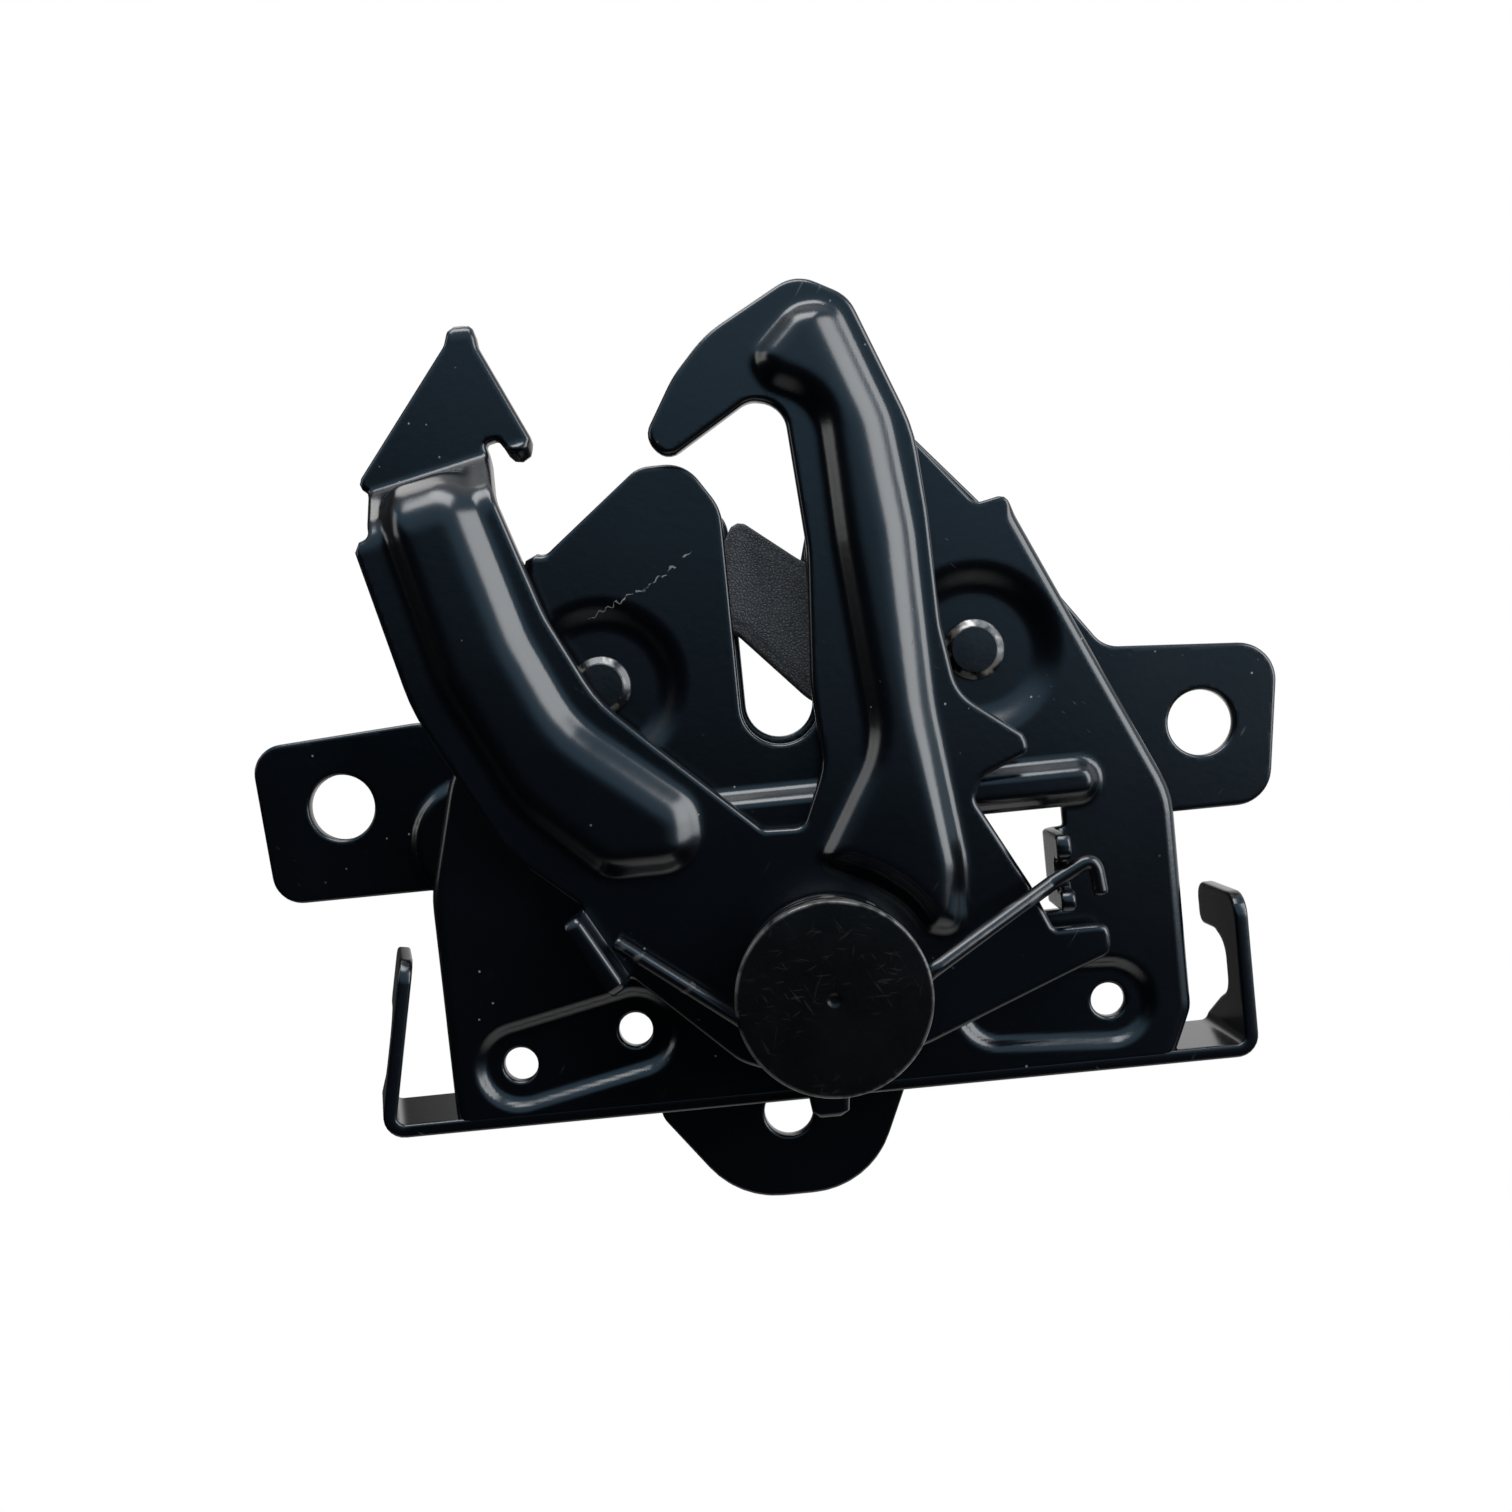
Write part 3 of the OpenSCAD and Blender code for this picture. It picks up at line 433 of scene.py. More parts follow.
def rib_relief(points):
    """Height of the ribs as a share of the rib height. Each rib rises steeply from its outline and gently
    from its right side, less gently at the stem's foot, and the arm's rib runs out over the bend."""
    beyond = (points - arm_left) @ arm_up
    on_arm = (points - arm_left) @ arm_along < arm_width
    fade = np.where(on_arm, 1 - smooth((beyond - run_out) / run_out_length), 1)
    arm = np.minimum(crown(inside_distance(points, arm_rib)[0] / steep_ramp),
                     crown(inside_distance(points, arm_flank)[0] / arm_ramp)) * fade
    gentle = foot_ramp + (stem_ramp - foot_ramp) * smooth((points[:, 1] - foot_low) / foot_run)
    stem = np.minimum(crown(inside_distance(points, stem_rib)[0] / steep_ramp),
                      crown(inside_distance(points, stem_flank)[0] / gentle))
    return np.maximum(arm, stem)


rib_share = softened(rib_relief, lever_blank.min(0) - 1, lever_blank.max(0) + 1, rib_grid, rib_soft)
tip_span, step_span, lug_span = (-5, 5), (-8, arm_width), (-12, 0.25)
lever_roll, lever_grid = 0.7, 0.42


def lever_front(points, outer):
    """Depth of the lever's face: the flat sheet, lifted towards the viewer by the ribs."""
    return lever_face - rib_height * rib_share(points)


def lever_folds(points):
    """The nub at the finger tab's tip is bent back, the arm's double bend sets the whole tab back, and the
    lug's bend stands it up towards the viewer."""
    middle = (lever_face + lever_back) / 2
    bent = fold(points, tip_line, (0, 1), tip_span, middle, [(tip_turn, tip_bend_r, 0)])
    bent = fold(bent, step_line, arm_up, step_span, middle,
                [(step_angle, top_bend, step_straight), (-step_angle, tab_bend_r, 0)])
    return fold(bent, lug_high, lug_out, lug_span, middle, [(-90, lug_bend_r, 0)])


lever = pressed_sheet("safety_lever_sheet", [lever_blank, circle(lever_pin, lever_bore_r)], lever_front,
                      lambda p, d: lever_front(p, d) + lever_sheet, plain_edge(lever_roll), lever_grid,
                      lever_folds)
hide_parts("safety_lever")
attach(lever, "lever")

# %% [markdown]
# ## Front plate
# The front plate is dished round its two rivets, has a raised platform that carries the lever, two recesses
# with small holes, a window whose tongue is folded forwards to hold the spring, and flanks that are bent back
# towards the base plate. All but the tongue are heights over one blank, so the sheet builder makes them at
# once, and the flanks are its rim drawn further back.

# %% Front blank
front_blank = rounded([
    [-45, plate_low, 2], [48, plate_low, 2], [51, -36, 4], [51, -8, 12], [33, 31.8, 1.2], [29.1, 31, 1.5],
    [20.5, 41.8, 4], [11.5, 40.6, 5], [slot_right, 27, 4], [slot_right, slot_floor, 4.99],
    [slot_left, slot_floor, 4.99], [slot_left, 33.6, 6], [-7, 39.8, 5], [-13, 39.8, 4], [-25.8, 29.9, 1.5],
    [-28, 30.6, 1], [-41.5, 2, 15], [-45.2, -12, 15]])
pad = rounded([
    [-20, -2.7, 3], [-20, -12, 5], [-7, -33, 6], [0.5, -38, 5], [9, -38, 5], [17, -32.5, 6], [23, -20, 5],
    [23, -8, 2], [41.4, -8, 2.5], [41.4, -2.7, 2.5]])
tongue_low, tongue_high, tongue_line, tongue_tip = -20.4, -11.0, 36.6, 24.4
notch_z, notch_half, notch_floor = -15.9, 1.9, 27.2
window_left, window_low, window_top = 23.4, -21.6, -8.5
window = rounded([
    [tongue_line, window_top, 0.3], [window_left, window_top, 1], [window_left, window_low, 1],
    [tongue_line, window_low, 0.3], [tongue_line, tongue_low, 0.3], [tongue_tip, tongue_low, 0.8],
    [tongue_tip, notch_z - notch_half, 0.4], [notch_floor, notch_z - notch_half, 1],
    [notch_floor, notch_z + notch_half, 1], [tongue_tip, notch_z + notch_half, 0.4],
    [tongue_tip, tongue_high, 0.8], [tongue_line, tongue_high, 0.3]])
tongue_bend, tongue_play = 2.1, 0.4
tongue_reach = tongue_line - tongue_tip + 0.5
fixing_holes, fixing_r = [(-36, -35.1), (-20.7, -32), (40.5, -34.1)], 2.2
recess_ends = [(fixing_holes[0], fixing_holes[1]), ((26.5, -33.2), fixing_holes[2])]
recess_r, recess_depth, recess_ramp = 6.0, 1.1, 1.8
pad_lead, pad_ramp = 0.6, 2.2
dish_r, dish_ramp = 11.4, 4.2
left_flank_x, left_flank_low, left_flank_top = -26, -29, 29.4
right_flank_x, right_flank_low, right_flank_top = 31, -34, 30.4
cut_roll, bend_roll, bend_width = 0.45, 1.1, 4
plate_middle, flank_from, flank_run = 2, 24, 7
flank_end, flange_from, end_run = 31, -38, 3
print("front blank", len(front_blank), "points")


# %% Front surface
def from_line(points, ends):
    """Distance from a straight line between two ends."""
    a, b = np.asarray(ends, float)
    share = np.clip((points - a) @ (b - a) / ((b - a) @ (b - a)), 0, 1)
    return np.hypot(*(points - a - share[:, None] * (b - a)).T)


def front_depth(points, outer):
    """Depth of the plate's face: raised by the pad, sunk by the dishes and the two long recesses."""
    y = np.full(len(points), front_face)
    y -= pad_height * smooth((inside_distance(points, pad)[0] + pad_lead) / pad_ramp)
    for pin in rivet_pins:
        y += dish_depth * smooth((dish_r - np.hypot(*(points - pin).T)) / dish_ramp)
    for ends in recess_ends:
        y += recess_depth * smooth((recess_r - from_line(points, ends)) / recess_ramp)
    return y


def on_flank(points):
    """True on the bent-back flanks at the left and right of the plate, and false elsewhere."""
    x, z = points.T
    left = (x < left_flank_x) & (z > left_flank_low) & (z < left_flank_top)
    right = (x > right_flank_x) & (z > right_flank_low) & (z < right_flank_top)
    return left | right


def front_back_depth(points, outer):
    """Depth of the plate's back: the face plus the sheet, and the flanks' ends along the bent edges."""
    flank = on_flank(points) & (outer < front_sheet)
    return np.where(flank, side_flange_back, front_depth(points, outer) + front_sheet)


def front_edge(points, outer):
    """Roll radius: small on cut edges, larger where the plate bends into its flanks and bottom flange. Smooth
    steps over x and z start and end the bends."""
    x, z = points.T
    flanks = smooth((np.abs(x - plate_middle) - flank_from) / flank_run) * smooth((flank_end - z) / end_run)
    bend = np.maximum(flanks, smooth((flange_from - z) / end_run)) * smooth(bend_width - outer)
    return cut_roll + bend_roll * bend


def front_folds(points):
    """The tongue's bend stands it up towards the viewer."""
    return fold(points, (tongue_line, 0), (-1, 0), (tongue_low - tongue_play, tongue_high + tongue_play),
                (front_face + front_back) / 2, [(-90, tongue_bend, 0)], tongue_reach)


front_grid, small_hole_sides = 0.45, 40
rivet_holes = [circle(p, rivet_hole_r, small_hole_sides) for p in rivet_pins]
front_holes = [circle(p, fixing_r, small_hole_sides) for p in fixing_holes] + rivet_holes
front_loops = [front_blank, window, circle(lever_pin, pivot_hole_r), *front_holes]
front = pressed_sheet("front_plate_sheet", front_loops, front_depth, front_back_depth, front_edge, front_grid,
                      front_folds)
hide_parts("front_plate")
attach(front, "frame")

# %% [markdown]
# ## Bottom flange and cable tabs
# Below the front plate a flange runs back, and its two ends are folded up as notched tabs that hold the
# release cable. The flange's blank lies in the XY plane, so it is built like the others and then laid down.

# %% Flange blank
flange_left, flange_right = -54.3, 59.2
left_flare, right_toe, left_lean = np.radians(15), np.radians(2), 12.0
left_top, right_top, cable_z = -19.6, -21.8, -32.2
tab_bend = 2.0
flange_roll, flange_grid, flange_play = 0.4, 0.5, 0.04
flange_waist, flange_shy = 5, 0.2


def tab_blank(fold_point, fold_out, flipped, top):
    """A cable tab's outline beyond its fold line, as distance along the line and beyond it. The notch opens
    towards the back."""
    along = np.array([-fold_out[1], fold_out[0]]) * (1 if fold_out[0] > 0 else -1)
    rise = tab_bend * np.pi / 2 - (plate_low + front_sheet / 2 + tab_bend)
    corners = [[15, cable_z - 8, 1], [9, cable_z - 4.6, 2.6], [5.4, cable_z - 3, 2.8],
               [5.4, cable_z + 3, 2.8], [9, cable_z + 4.5, 2], [15, cable_z + 4.5, 1.6],
               [15, top, 2.4], [0.2, top, 3]]
    made = [[*(fold_point + along * t + fold_out * (z + rise)), r] for t, z, r in corners]
    return made[::-1] if flipped else made


right_out = np.array([np.cos(right_toe), np.sin(right_toe)])
left_out = -np.array([np.cos(left_flare), np.sin(left_flare)])
fold_in = tab_bend + front_sheet / 2
right_fold = np.array([flange_right - fold_in / np.cos(right_toe), front_face])
left_fold = np.array([flange_left + fold_in / np.cos(left_flare), front_face])
back_run = flange_back - front_face
right_back = right_fold + np.array([-right_out[1], right_out[0]]) * back_run
left_back = left_fold + np.array([left_out[1], -left_out[0]]) * back_run
flange_blank = rounded([
    [*left_fold, 0], [*right_fold, 0], *tab_blank(right_fold, right_out, True, right_top), [*right_back, 0],
    [42, flange_back - flange_shy, 2], [38, front_face + flange_waist, 2],
    [-31.2, front_face + flange_waist, 2], [-35.2, flange_back - flange_shy, 2],
    [*left_back, 0], *tab_blank(left_fold, left_out, False, left_top)])
print("flange blank", len(flange_blank), "points, from", flange_blank.min(0), "to", flange_blank.max(0))


# %% Flange surface
def flange_place(points):
    """Folds both tabs up, then lays the sheet down: depth becomes height, turned about X."""
    middle = -plate_low - front_sheet / 2
    whole = (-40, 40)
    bent = fold(points, right_fold, right_out, whole, middle, [(-90, tab_bend, 0)])
    bent = fold(bent, left_fold, left_out, whole, middle, [(-90 - left_lean, tab_bend, 0)])
    return np.stack([bent[:, 0], bent[:, 2], -bent[:, 1]], 1)


flange = pressed_sheet("bottom_flange_sheet", [flange_blank],
                       lambda p, d: np.full(len(p), -plate_low - front_sheet),
                       lambda p, d: np.full(len(p), -plate_low - flange_play), plain_edge(flange_roll),
                       flange_grid, flange_place)
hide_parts("front_plate")
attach(flange, "frame")

# %% [markdown]
# ## Base plate
# The base plate has an ear at each side, a lobe at the bottom, horns beside the striker slot, a boss under
# each rivet and a round bead at the root of the left ear. It could be a cut-out with discs set on it, but
# heights over the blank blend the bosses into the sheet.

# %% Base surface
base_blank = rounded([
    [-19.5, -46, 3], [-10, -58.6, 12], [8, -58.6, 12], [14.5, -44, 8], [20, -8.8, 5], [38, -8.8, 6],
    [47, -11.6, 6], [66.3, -11.6, 5], [69.15, 9.8, 5], [46, 11.4, 4], [31, 32.5, 3], [21.5, 43.6, 4],
    [11, 42, 5], [6.5, 26, 3], [6.5, 3.7, 4.49], [-2.5, 3.7, 4.49], [-2.5, 33, 4], [-8, 38.6, 4],
    [-13, 38.6, 4], [-27, 28.5, 4], [-38.5, 6, 5], [-46, 10.4, 4], [-69.6, 9, 4], [-68.2, -12.4, 4],
    [-33, -12.4, 8], [-16.5, -27, 6]])
ear_bolt_x, ear_bolt_r, low_bolt, low_bolt_r = 58, 4.4, (-2.1, -47.1), 3.3
bolt_holes = [circle((-ear_bolt_x, 0), ear_bolt_r), circle((ear_bolt_x, 0), ear_bolt_r),
              circle(low_bolt, low_bolt_r)]
boss_r, boss_ramp, hollow_r, hollow_ramp = 10.6, 2.2, 7.6, 1.4
bead_at, bead_r, bead_ramp = np.array([-40.5, -6.5]), 8.8, 1.1
base_roll, base_grid = 0.45, 0.55


def base_front(points, outer):
    """Depth of the base plate's face: raised by a boss under each rivet, and 1 mm by the bead."""
    y = np.full(len(points), -base_sheet)
    for pin in rivet_pins:
        y -= boss_height * smooth((boss_r - np.hypot(*(points - pin).T)) / boss_ramp)
    return y - smooth((bead_r - np.hypot(*(points - bead_at).T)) / bead_ramp)


def base_back(points, outer):
    """Depth of the base plate's back: flat, with a hollow behind each boss."""
    y = np.zeros(len(points))
    for pin in rivet_pins:
        y -= boss_height * smooth((hollow_r - np.hypot(*(points - pin).T)) / hollow_ramp)
    return y


base = pressed_sheet("base_plate_sheet", [base_blank, *bolt_holes, *rivet_holes], base_front, base_back,
                     plain_edge(base_roll), base_grid)
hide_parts("base_plate")
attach(base, "frame")

# %% [markdown]
# ## Claw
# The claw is a thick plate with a moulded, grained coat and well rounded edges. Its outline is given by
# distances and angles about its rivet, in the open position that the photograph shows. A bevelled cut-out
# would come close, but the sheet builder also lets the face fall slightly towards its rim.

# %% Claw surface
claw_polar = np.array([
    [35.2, 145, 1.5], [35.2, 157.5, 0.6], [39.5, 157.5, 0.8], [39.5, 166, 2], [30.4, 170.6, 4],
    [21.7, 192.5, 6], [14.5, 215, 6], [13, 246, 4], [15, 266, 2], [15, 284, 2], [11, 304, 4],
    [11, 350, 8], [11, 35, 8], [14, 72, 8], [30.5, 104, 3], [30.5, 114, 2.4], [21.2, 118.5, 5.2],
    [21.2, 147.5, 5.2]])
claw_angle = np.radians(claw_polar[:, 1])
claw_blank = rounded(np.stack([claw_pin[0] + claw_polar[:, 0] * np.cos(claw_angle),
                               claw_pin[1] + claw_polar[:, 0] * np.sin(claw_angle), claw_polar[:, 2]], 1))
claw_front, claw_back, claw_roll, claw_grid = -8.1, -3.8, 0.7, 0.45
lip_drop, lip_width = 0.25, 2.0
hook_out, hook_turn, hook_hole_r, hook_hole_sides = 12.2, np.radians(-85), 0.9, 24
claw_hook = claw_pin + hook_out * np.array([np.cos(hook_turn), np.sin(hook_turn)])
claw_holes = [circle(claw_pin, claw_bore_r), circle(claw_hook, hook_hole_r, hook_hole_sides)]
claw = pressed_sheet("claw_body", [claw_blank, *claw_holes],
                     lambda p, d: np.full(len(p), claw_front) + lip_drop * smooth(lip_width - d),
                     lambda p, d: np.full(len(p), claw_back), plain_edge(claw_roll), claw_grid)
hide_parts("claw")
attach(claw, "claw")

# %% [markdown]
# ## Rivets
# A rivet is turned, so its surface is a profile carried round an axis. Stacked cylinders would leave hard
# steps, while a profile can round every corner. The two shouldered rivets have a formed head with a cone
# round a flat, and the lever's pivot has a wide thin cap that keeps the spring on.


# %% Turned pieces
def ring_faces(rings, sides):
    """Quads between neighbouring rings of points: point j and the one after it, on a ring and on the next."""
    i, j = np.meshgrid(np.arange(rings - 1), np.arange(sides), indexing="ij")
    k = (j + 1) % sides
    walls = np.stack([i * sides + j, i * sides + k, (i + 1) * sides + k, (i + 1) * sides + j], -1)
    return walls.reshape(-1, 4).tolist()


def turned(name, pin, profile, sides=96):
    """Carries a profile of [radius, depth, corner radius] round the axis through pin, which lies along Y.
    The first and the last point lie on the axis."""
    path = rounded(profile)
    a = np.linspace(0, 2 * np.pi, sides, endpoint=False)
    r, y = path[:, 0][:, None], np.repeat(path[:, 1][:, None], sides, 1)
    points = np.stack([pin[0] + r * np.cos(a), y, pin[1] + r * np.sin(a)], -1).reshape(-1, 3)
    made = make_piece(name, points, ring_faces(len(path), sides))
    weld(made, turn_out=True)
    return made


# %% Rivets
neck_r, head_r, shoulder_r = 3.0, 3.9, 5.0
head_face, head_back, shoulder_front, shoulder_back = -11.45, -10.2, -8.4, -3.5
tail_front, tail_end = -1.5, -0.3
rivet_profile = [
    [0, head_face, 0], [2.9, head_face, 0.15], [neck_r, -11.3, 0.1], [head_r, -10.75, 0.3],
    [head_r, head_back, 0], [neck_r, head_back, 0], [neck_r, shoulder_front, 0],
    [shoulder_r, shoulder_front, 0.2], [shoulder_r, shoulder_back, 0.2], [neck_r, shoulder_back, 0],
    [neck_r, tail_front, 0], [head_r, tail_front, 0], [head_r, -0.9, 0.3], [neck_r, tail_end, 0.3],
    [0, tail_end, 0]]
for node, pin in (("claw_rivet", claw_pin), ("pawl_rivet", pawl_pin)):
    rivet = turned(node + "_turned", pin, rivet_profile)
    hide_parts(node)
    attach(rivet, "frame")

# %% Pivot with its cap
cap_r, core_r, seat_r, pin_r, foot_r = 11.7, 8.6, 6.0, 5.0, 7.2
cap_face, cap_back, core_back, seat_back = -29.35, -27.35, -16.7, -13.8
foot_front, foot_back, cap_sides = -12.0, -10.4, 160
pivot = turned("lever_rivet_turned", lever_pin, [
    [0, cap_face + 0.25, 0], [0.5, cap_face + 0.2, 0.3], [0.9, cap_face, 0.3], [cap_r, cap_face, 0.35],
    [cap_r, cap_back, 0.3], [core_r, cap_back, 0], [core_r, core_back, 0.2], [seat_r, core_back, 0],
    [seat_r, seat_back, 0], [pin_r, seat_back, 0], [pin_r, foot_front, 0], [foot_r, foot_front, 0],
    [foot_r, -11.2, 0.4], [6.2, foot_back, 0.3], [0, foot_back, 0]], cap_sides)
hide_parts("lever_rivet")
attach(pivot, "frame")

# %% [markdown]
# ## Springs
# A spring is a round wire along a path. At every point of the path, a side direction at right angles to
# the wire comes from a reference direction that the wire never runs along, and a circle of points is set
# round it. A bevelled curve would look the same.


# %% Wire helper
def wire_mesh(path, reference, radius, sides):
    """Points and faces of a round wire along a path, with both ends chamfered and closed. The circle at each
    point is spanned by the reference crossed with the tangent, and by the tangent crossed with that."""
    tangent = np.gradient(path, axis=0)
    tangent /= np.linalg.norm(tangent, axis=1)[:, None]
    side = np.cross(np.asarray(reference, float), tangent)
    side /= np.linalg.norm(side, axis=1)[:, None]
    up = np.cross(tangent, side)
    a = np.linspace(0, 2 * np.pi, sides, endpoint=False)
    ring = side[:, None] * np.cos(a)[None, :, None] + up[:, None] * np.sin(a)[None, :, None]
    grown = np.concatenate([path[:1], path, path[-1:]])
    end_width, end_length = 0.7, 0.3
    ring = np.concatenate([ring[:1] * end_width, ring, ring[-1:] * end_width])
    grown[0] -= tangent[0] * radius * end_length
    grown[-1] += tangent[-1] * radius * end_length
    points = (grown[:, None] + ring * radius).reshape(-1, 3)
    first, last = list(range(sides)), (len(grown) - 1) * sides
    return points, ring_faces(len(grown), sides) + [first[::-1], [last + q for q in first]]


def joined(parts):
    """Several (points, faces) as one, with the corner numbers moved on."""
    points, faces, base_id = [], [], 0
    for p, f in parts:
        points.append(p)
        faces += [[c + base_id for c in face] for face in f]
        base_id += len(p)
    return np.concatenate(points), faces


def soft_corner(start, corner, end, t):
    """Curve that leaves start towards the corner and reaches end from it: start times (1 - t) squared, plus
    corner times 2t(1 - t), plus end times t squared."""
    return start * (1 - t) ** 2 + corner * 2 * t * (1 - t) + end * t**2


# %% Lever spring
coil_low, coil_pitch, coil_start, coil_sweep = -17.65, 1.95, np.radians(232), np.radians(1560)
free_turn, free_length, joint_gap = np.radians(142), 25.0, 0.4
knee_reach, knee_gap, leg_x, leg_y, leg_level, leg_past = 2.4, 3, 34.5, -20.75, 2.0, 2.2
end_reach, end_drop, end_way, end_length = 1.8, np.array([0.3, 0, -1.8]), np.array([0.1, 0, -1]), 2.6
a = coil_start + np.linspace(0, coil_sweep, 420)
coil = np.stack([lever_pin[0] + coil_r * np.cos(a),
                 coil_low - coil_pitch * (a - a[0]) / (2 * np.pi),
                 lever_pin[1] + coil_r * np.sin(a)], 1)
free_way = np.array([np.cos(free_turn), 0, np.sin(free_turn)])
free_leg = coil[0] + free_way * np.linspace(free_length, joint_gap, 60)[:, None]
coil_end = coil[-1]
bend_point = coil_end + np.array([-np.sin(a[-1]), 0, np.cos(a[-1])]) * knee_reach
notch_point = np.array([leg_x, coil_end[1], notch_z])
leg_len = np.linalg.norm(notch_point - bend_point)
leg_way = (notch_point - bend_point) / leg_len
t = np.linspace(0, 1, 12)[1:, None]
knee = soft_corner(coil_end, bend_point, bend_point + leg_way * knee_reach, t)
d = np.linspace(knee_gap, leg_len + leg_past, 60)[:, None]
fixed_leg = bend_point + leg_way * d
drop = np.clip((d[:, 0] - knee_reach) / (leg_len - knee_reach - leg_level), 0, 1)
fixed_leg[:, 1] = coil_end[1] + (leg_y - coil_end[1]) * drop
past = fixed_leg[-1]
end_corner = past + leg_way * end_reach
end_bend = soft_corner(past, end_corner, end_corner + end_drop, t)
hook_end = end_bend[-1] + end_way * np.linspace(joint_gap, end_length, 8)[:, None]
spring_path = np.concatenate([free_leg, coil, knee, fixed_leg, end_bend, hook_end])
lever_spring = make_piece("lever_spring_wire", *wire_mesh(spring_path, (0, 1, 0), wire_d / 2, 18))
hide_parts("lever_spring")
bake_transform(lever_spring)


# %% Pull springs
wire_r, ring_r, post_r, play, hook_bend = 0.45, 2.05, 1.3, 0.3, 0.6
turn_points, wire_sides = 28, 10


def pull_spring(name, node, hook, post, lead, turns):
    """A close coil between a hole in a moving piece and a post: a hook through the hole, a helix along the
    line between them, and a half loop round the post."""
    mid = (claw_front + claw_back) / 2
    over, under = claw_front - wire_r - play, claw_back + wire_r + play
    way = (post - hook) / np.linalg.norm(post - hook)
    across = np.array([-way[1], way[0]])
    loop_r = post_r + wire_r + play
    coil_len = np.linalg.norm(post - hook) - lead - loop_r - 2 * wire_r

    def at(plane, y):
        return np.stack([plane[:, 0], np.broadcast_to(y, len(plane)), plane[:, 1]], 1)

    q = np.linspace(0, np.pi / 2, 8)[:, None]
    corner = at(hook + way * hook_bend * (1 - np.cos(q)), over + hook_bend - hook_bend * np.sin(q[:, 0]))
    stem = at(np.tile(hook, (8, 1)), np.linspace(under, over + hook_bend + 0.1, 8))
    run = np.linspace(hook_bend + 0.2, lead - 0.1, 12)[:, None]
    lead_wire = at(hook + way * run, over + (mid - ring_r - over) * smooth((run[:, 0] - lead + 2.5) / 2.4))
    s = np.linspace(0, 1, int(turns * turn_points))[:, None]
    turn_a = 2 * np.pi * turns * s
    axis = hook + way * (lead + coil_len * s)
    helix = at(axis + across * ring_r * np.sin(turn_a), mid - ring_r * np.cos(turn_a[:, 0]))
    rest = np.linspace(0, loop_r + 2 * wire_r - 0.1, 6)[:, None]
    straight = at(hook + way * (lead + coil_len + rest) + across * ring_r, mid)
    loop_a = np.linspace(0, np.pi, 24)[:, None]
    loop = at(post + loop_r * (across * np.cos(loop_a) + way * np.sin(loop_a)), mid)
    way3, across3 = np.array([way[0], 0, way[1]]), np.array([across[0], 0, across[1]])
    parts = [wire_mesh(np.concatenate([stem, corner, lead_wire]), across3, wire_r, wire_sides),
             wire_mesh(helix, way3, wire_r, wire_sides),
             wire_mesh(np.concatenate([straight, loop]), (0, 1, 0), wire_r, wire_sides)]
    made = make_piece(name, *joined(parts))
    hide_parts(node)
    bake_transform(made)
    return made


pawl_hook = pawl_pin + np.array([-4.8, -27.6])
pawl_post, claw_post, post_root = np.array([-9.4, -22.4]), np.array([13.0, -24.0]), -1.6
claw_spring = pull_spring("claw_spring_wire", "claw_spring", claw_hook, claw_post, 6.0, 16.25)
pawl_spring = pull_spring("pawl_spring_wire", "pawl_spring", pawl_hook, pawl_post, 6.6, 6.25)
for node, post in (("claw_post", claw_post), ("pawl_post", pawl_post)):
    pin_piece = turned(node, post, [[0, claw_front, 0], [post_r, claw_front, 0.3], [post_r, post_root, 0],
                                    [0, post_root, 0]], 40)
    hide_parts("base_plate")
    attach(pin_piece, "frame")

# %% [markdown]
# ## Finishes
# A finish is a small sum of patterns: grain, scratches, dust and wear. Written as node links that would be
# hard to read, so one class wraps a socket and lets patterns be added and multiplied as plain arithmetic.


# %% Shader arithmetic
class Signal:
    """One output of a node tree. Arithmetic on it adds Math nodes, and node() adds any other node."""

    def __init__(self, tree, socket=None):
        self.tree, self.socket = tree, socket

    def node(self, kind, settings=None, inputs=None, output=0):
        """A new node: its settings are set first, then its sockets get their values or links."""
        made = self.tree.nodes.new(kind)
        for key, value in (settings or {}).items():
            setattr(made, key, value)
        for key, value in (inputs or {}).items():
            if isinstance(value, Signal):
                self.tree.links.new(value.socket, made.inputs[key])
            else:
                made.inputs[key].default_value = value
        return Signal(self.tree, made.outputs[output])

    def math(self, operation, a, b=0.0):
        return self.node("ShaderNodeMath", {"operation": operation}, {0: a, 1: b})

    def __add__(self, other):
        return self.math("ADD", self, other)

    __radd__ = __add__

    def __sub__(self, other):
        return self.math("SUBTRACT", self, other)

    def __rsub__(self, other):
        return self.math("SUBTRACT", other, self)

    def __mul__(self, other):
        return self.math("MULTIPLY", self, other)

    __rmul__ = __mul__

    def __pow__(self, other):
        return self.math("POWER", self, other)

    def step(self, low, high):
        """0 below low, 1 above high, smooth between."""
        return self.node("ShaderNodeMapRange", {"interpolation_type": "SMOOTHSTEP"},
                         {"Value": self, "From Min": low, "From Max": high})

    def mix(self, dark, light):
        """A colour between two, with this signal as the share of the second. The node has two inputs and an
        output for each kind of value; those for colours have the numbers 6, 7 and 2."""
        return self.node("ShaderNodeMix", {"data_type": "RGBA"},
                         {"Factor": self, 6: (*dark, 1), 7: (*light, 1)}, 2)

    def axes(self):
        """The X, Y and Z of a vector, each as a signal."""
        parted = self.node("ShaderNodeSeparateXYZ", None, {0: self}).socket.node
        return [Signal(self.tree, socket) for socket in parted.outputs]


# %% Material helpers
def finish(name, **fixed):
    """A new material with constants set on its shader. Gives it, the shader and the object coordinates."""
    made = bpy.data.materials.new(name)
    made.use_nodes = True
    shader = made.node_tree.nodes["Principled BSDF"]
    for key, value in fixed.items():
        shader.inputs[key.replace("_", " ")].default_value = value
    place = Signal(made.node_tree).node("ShaderNodeTexCoord", output="Object")
    print("finish", name)
    return made, shader, place


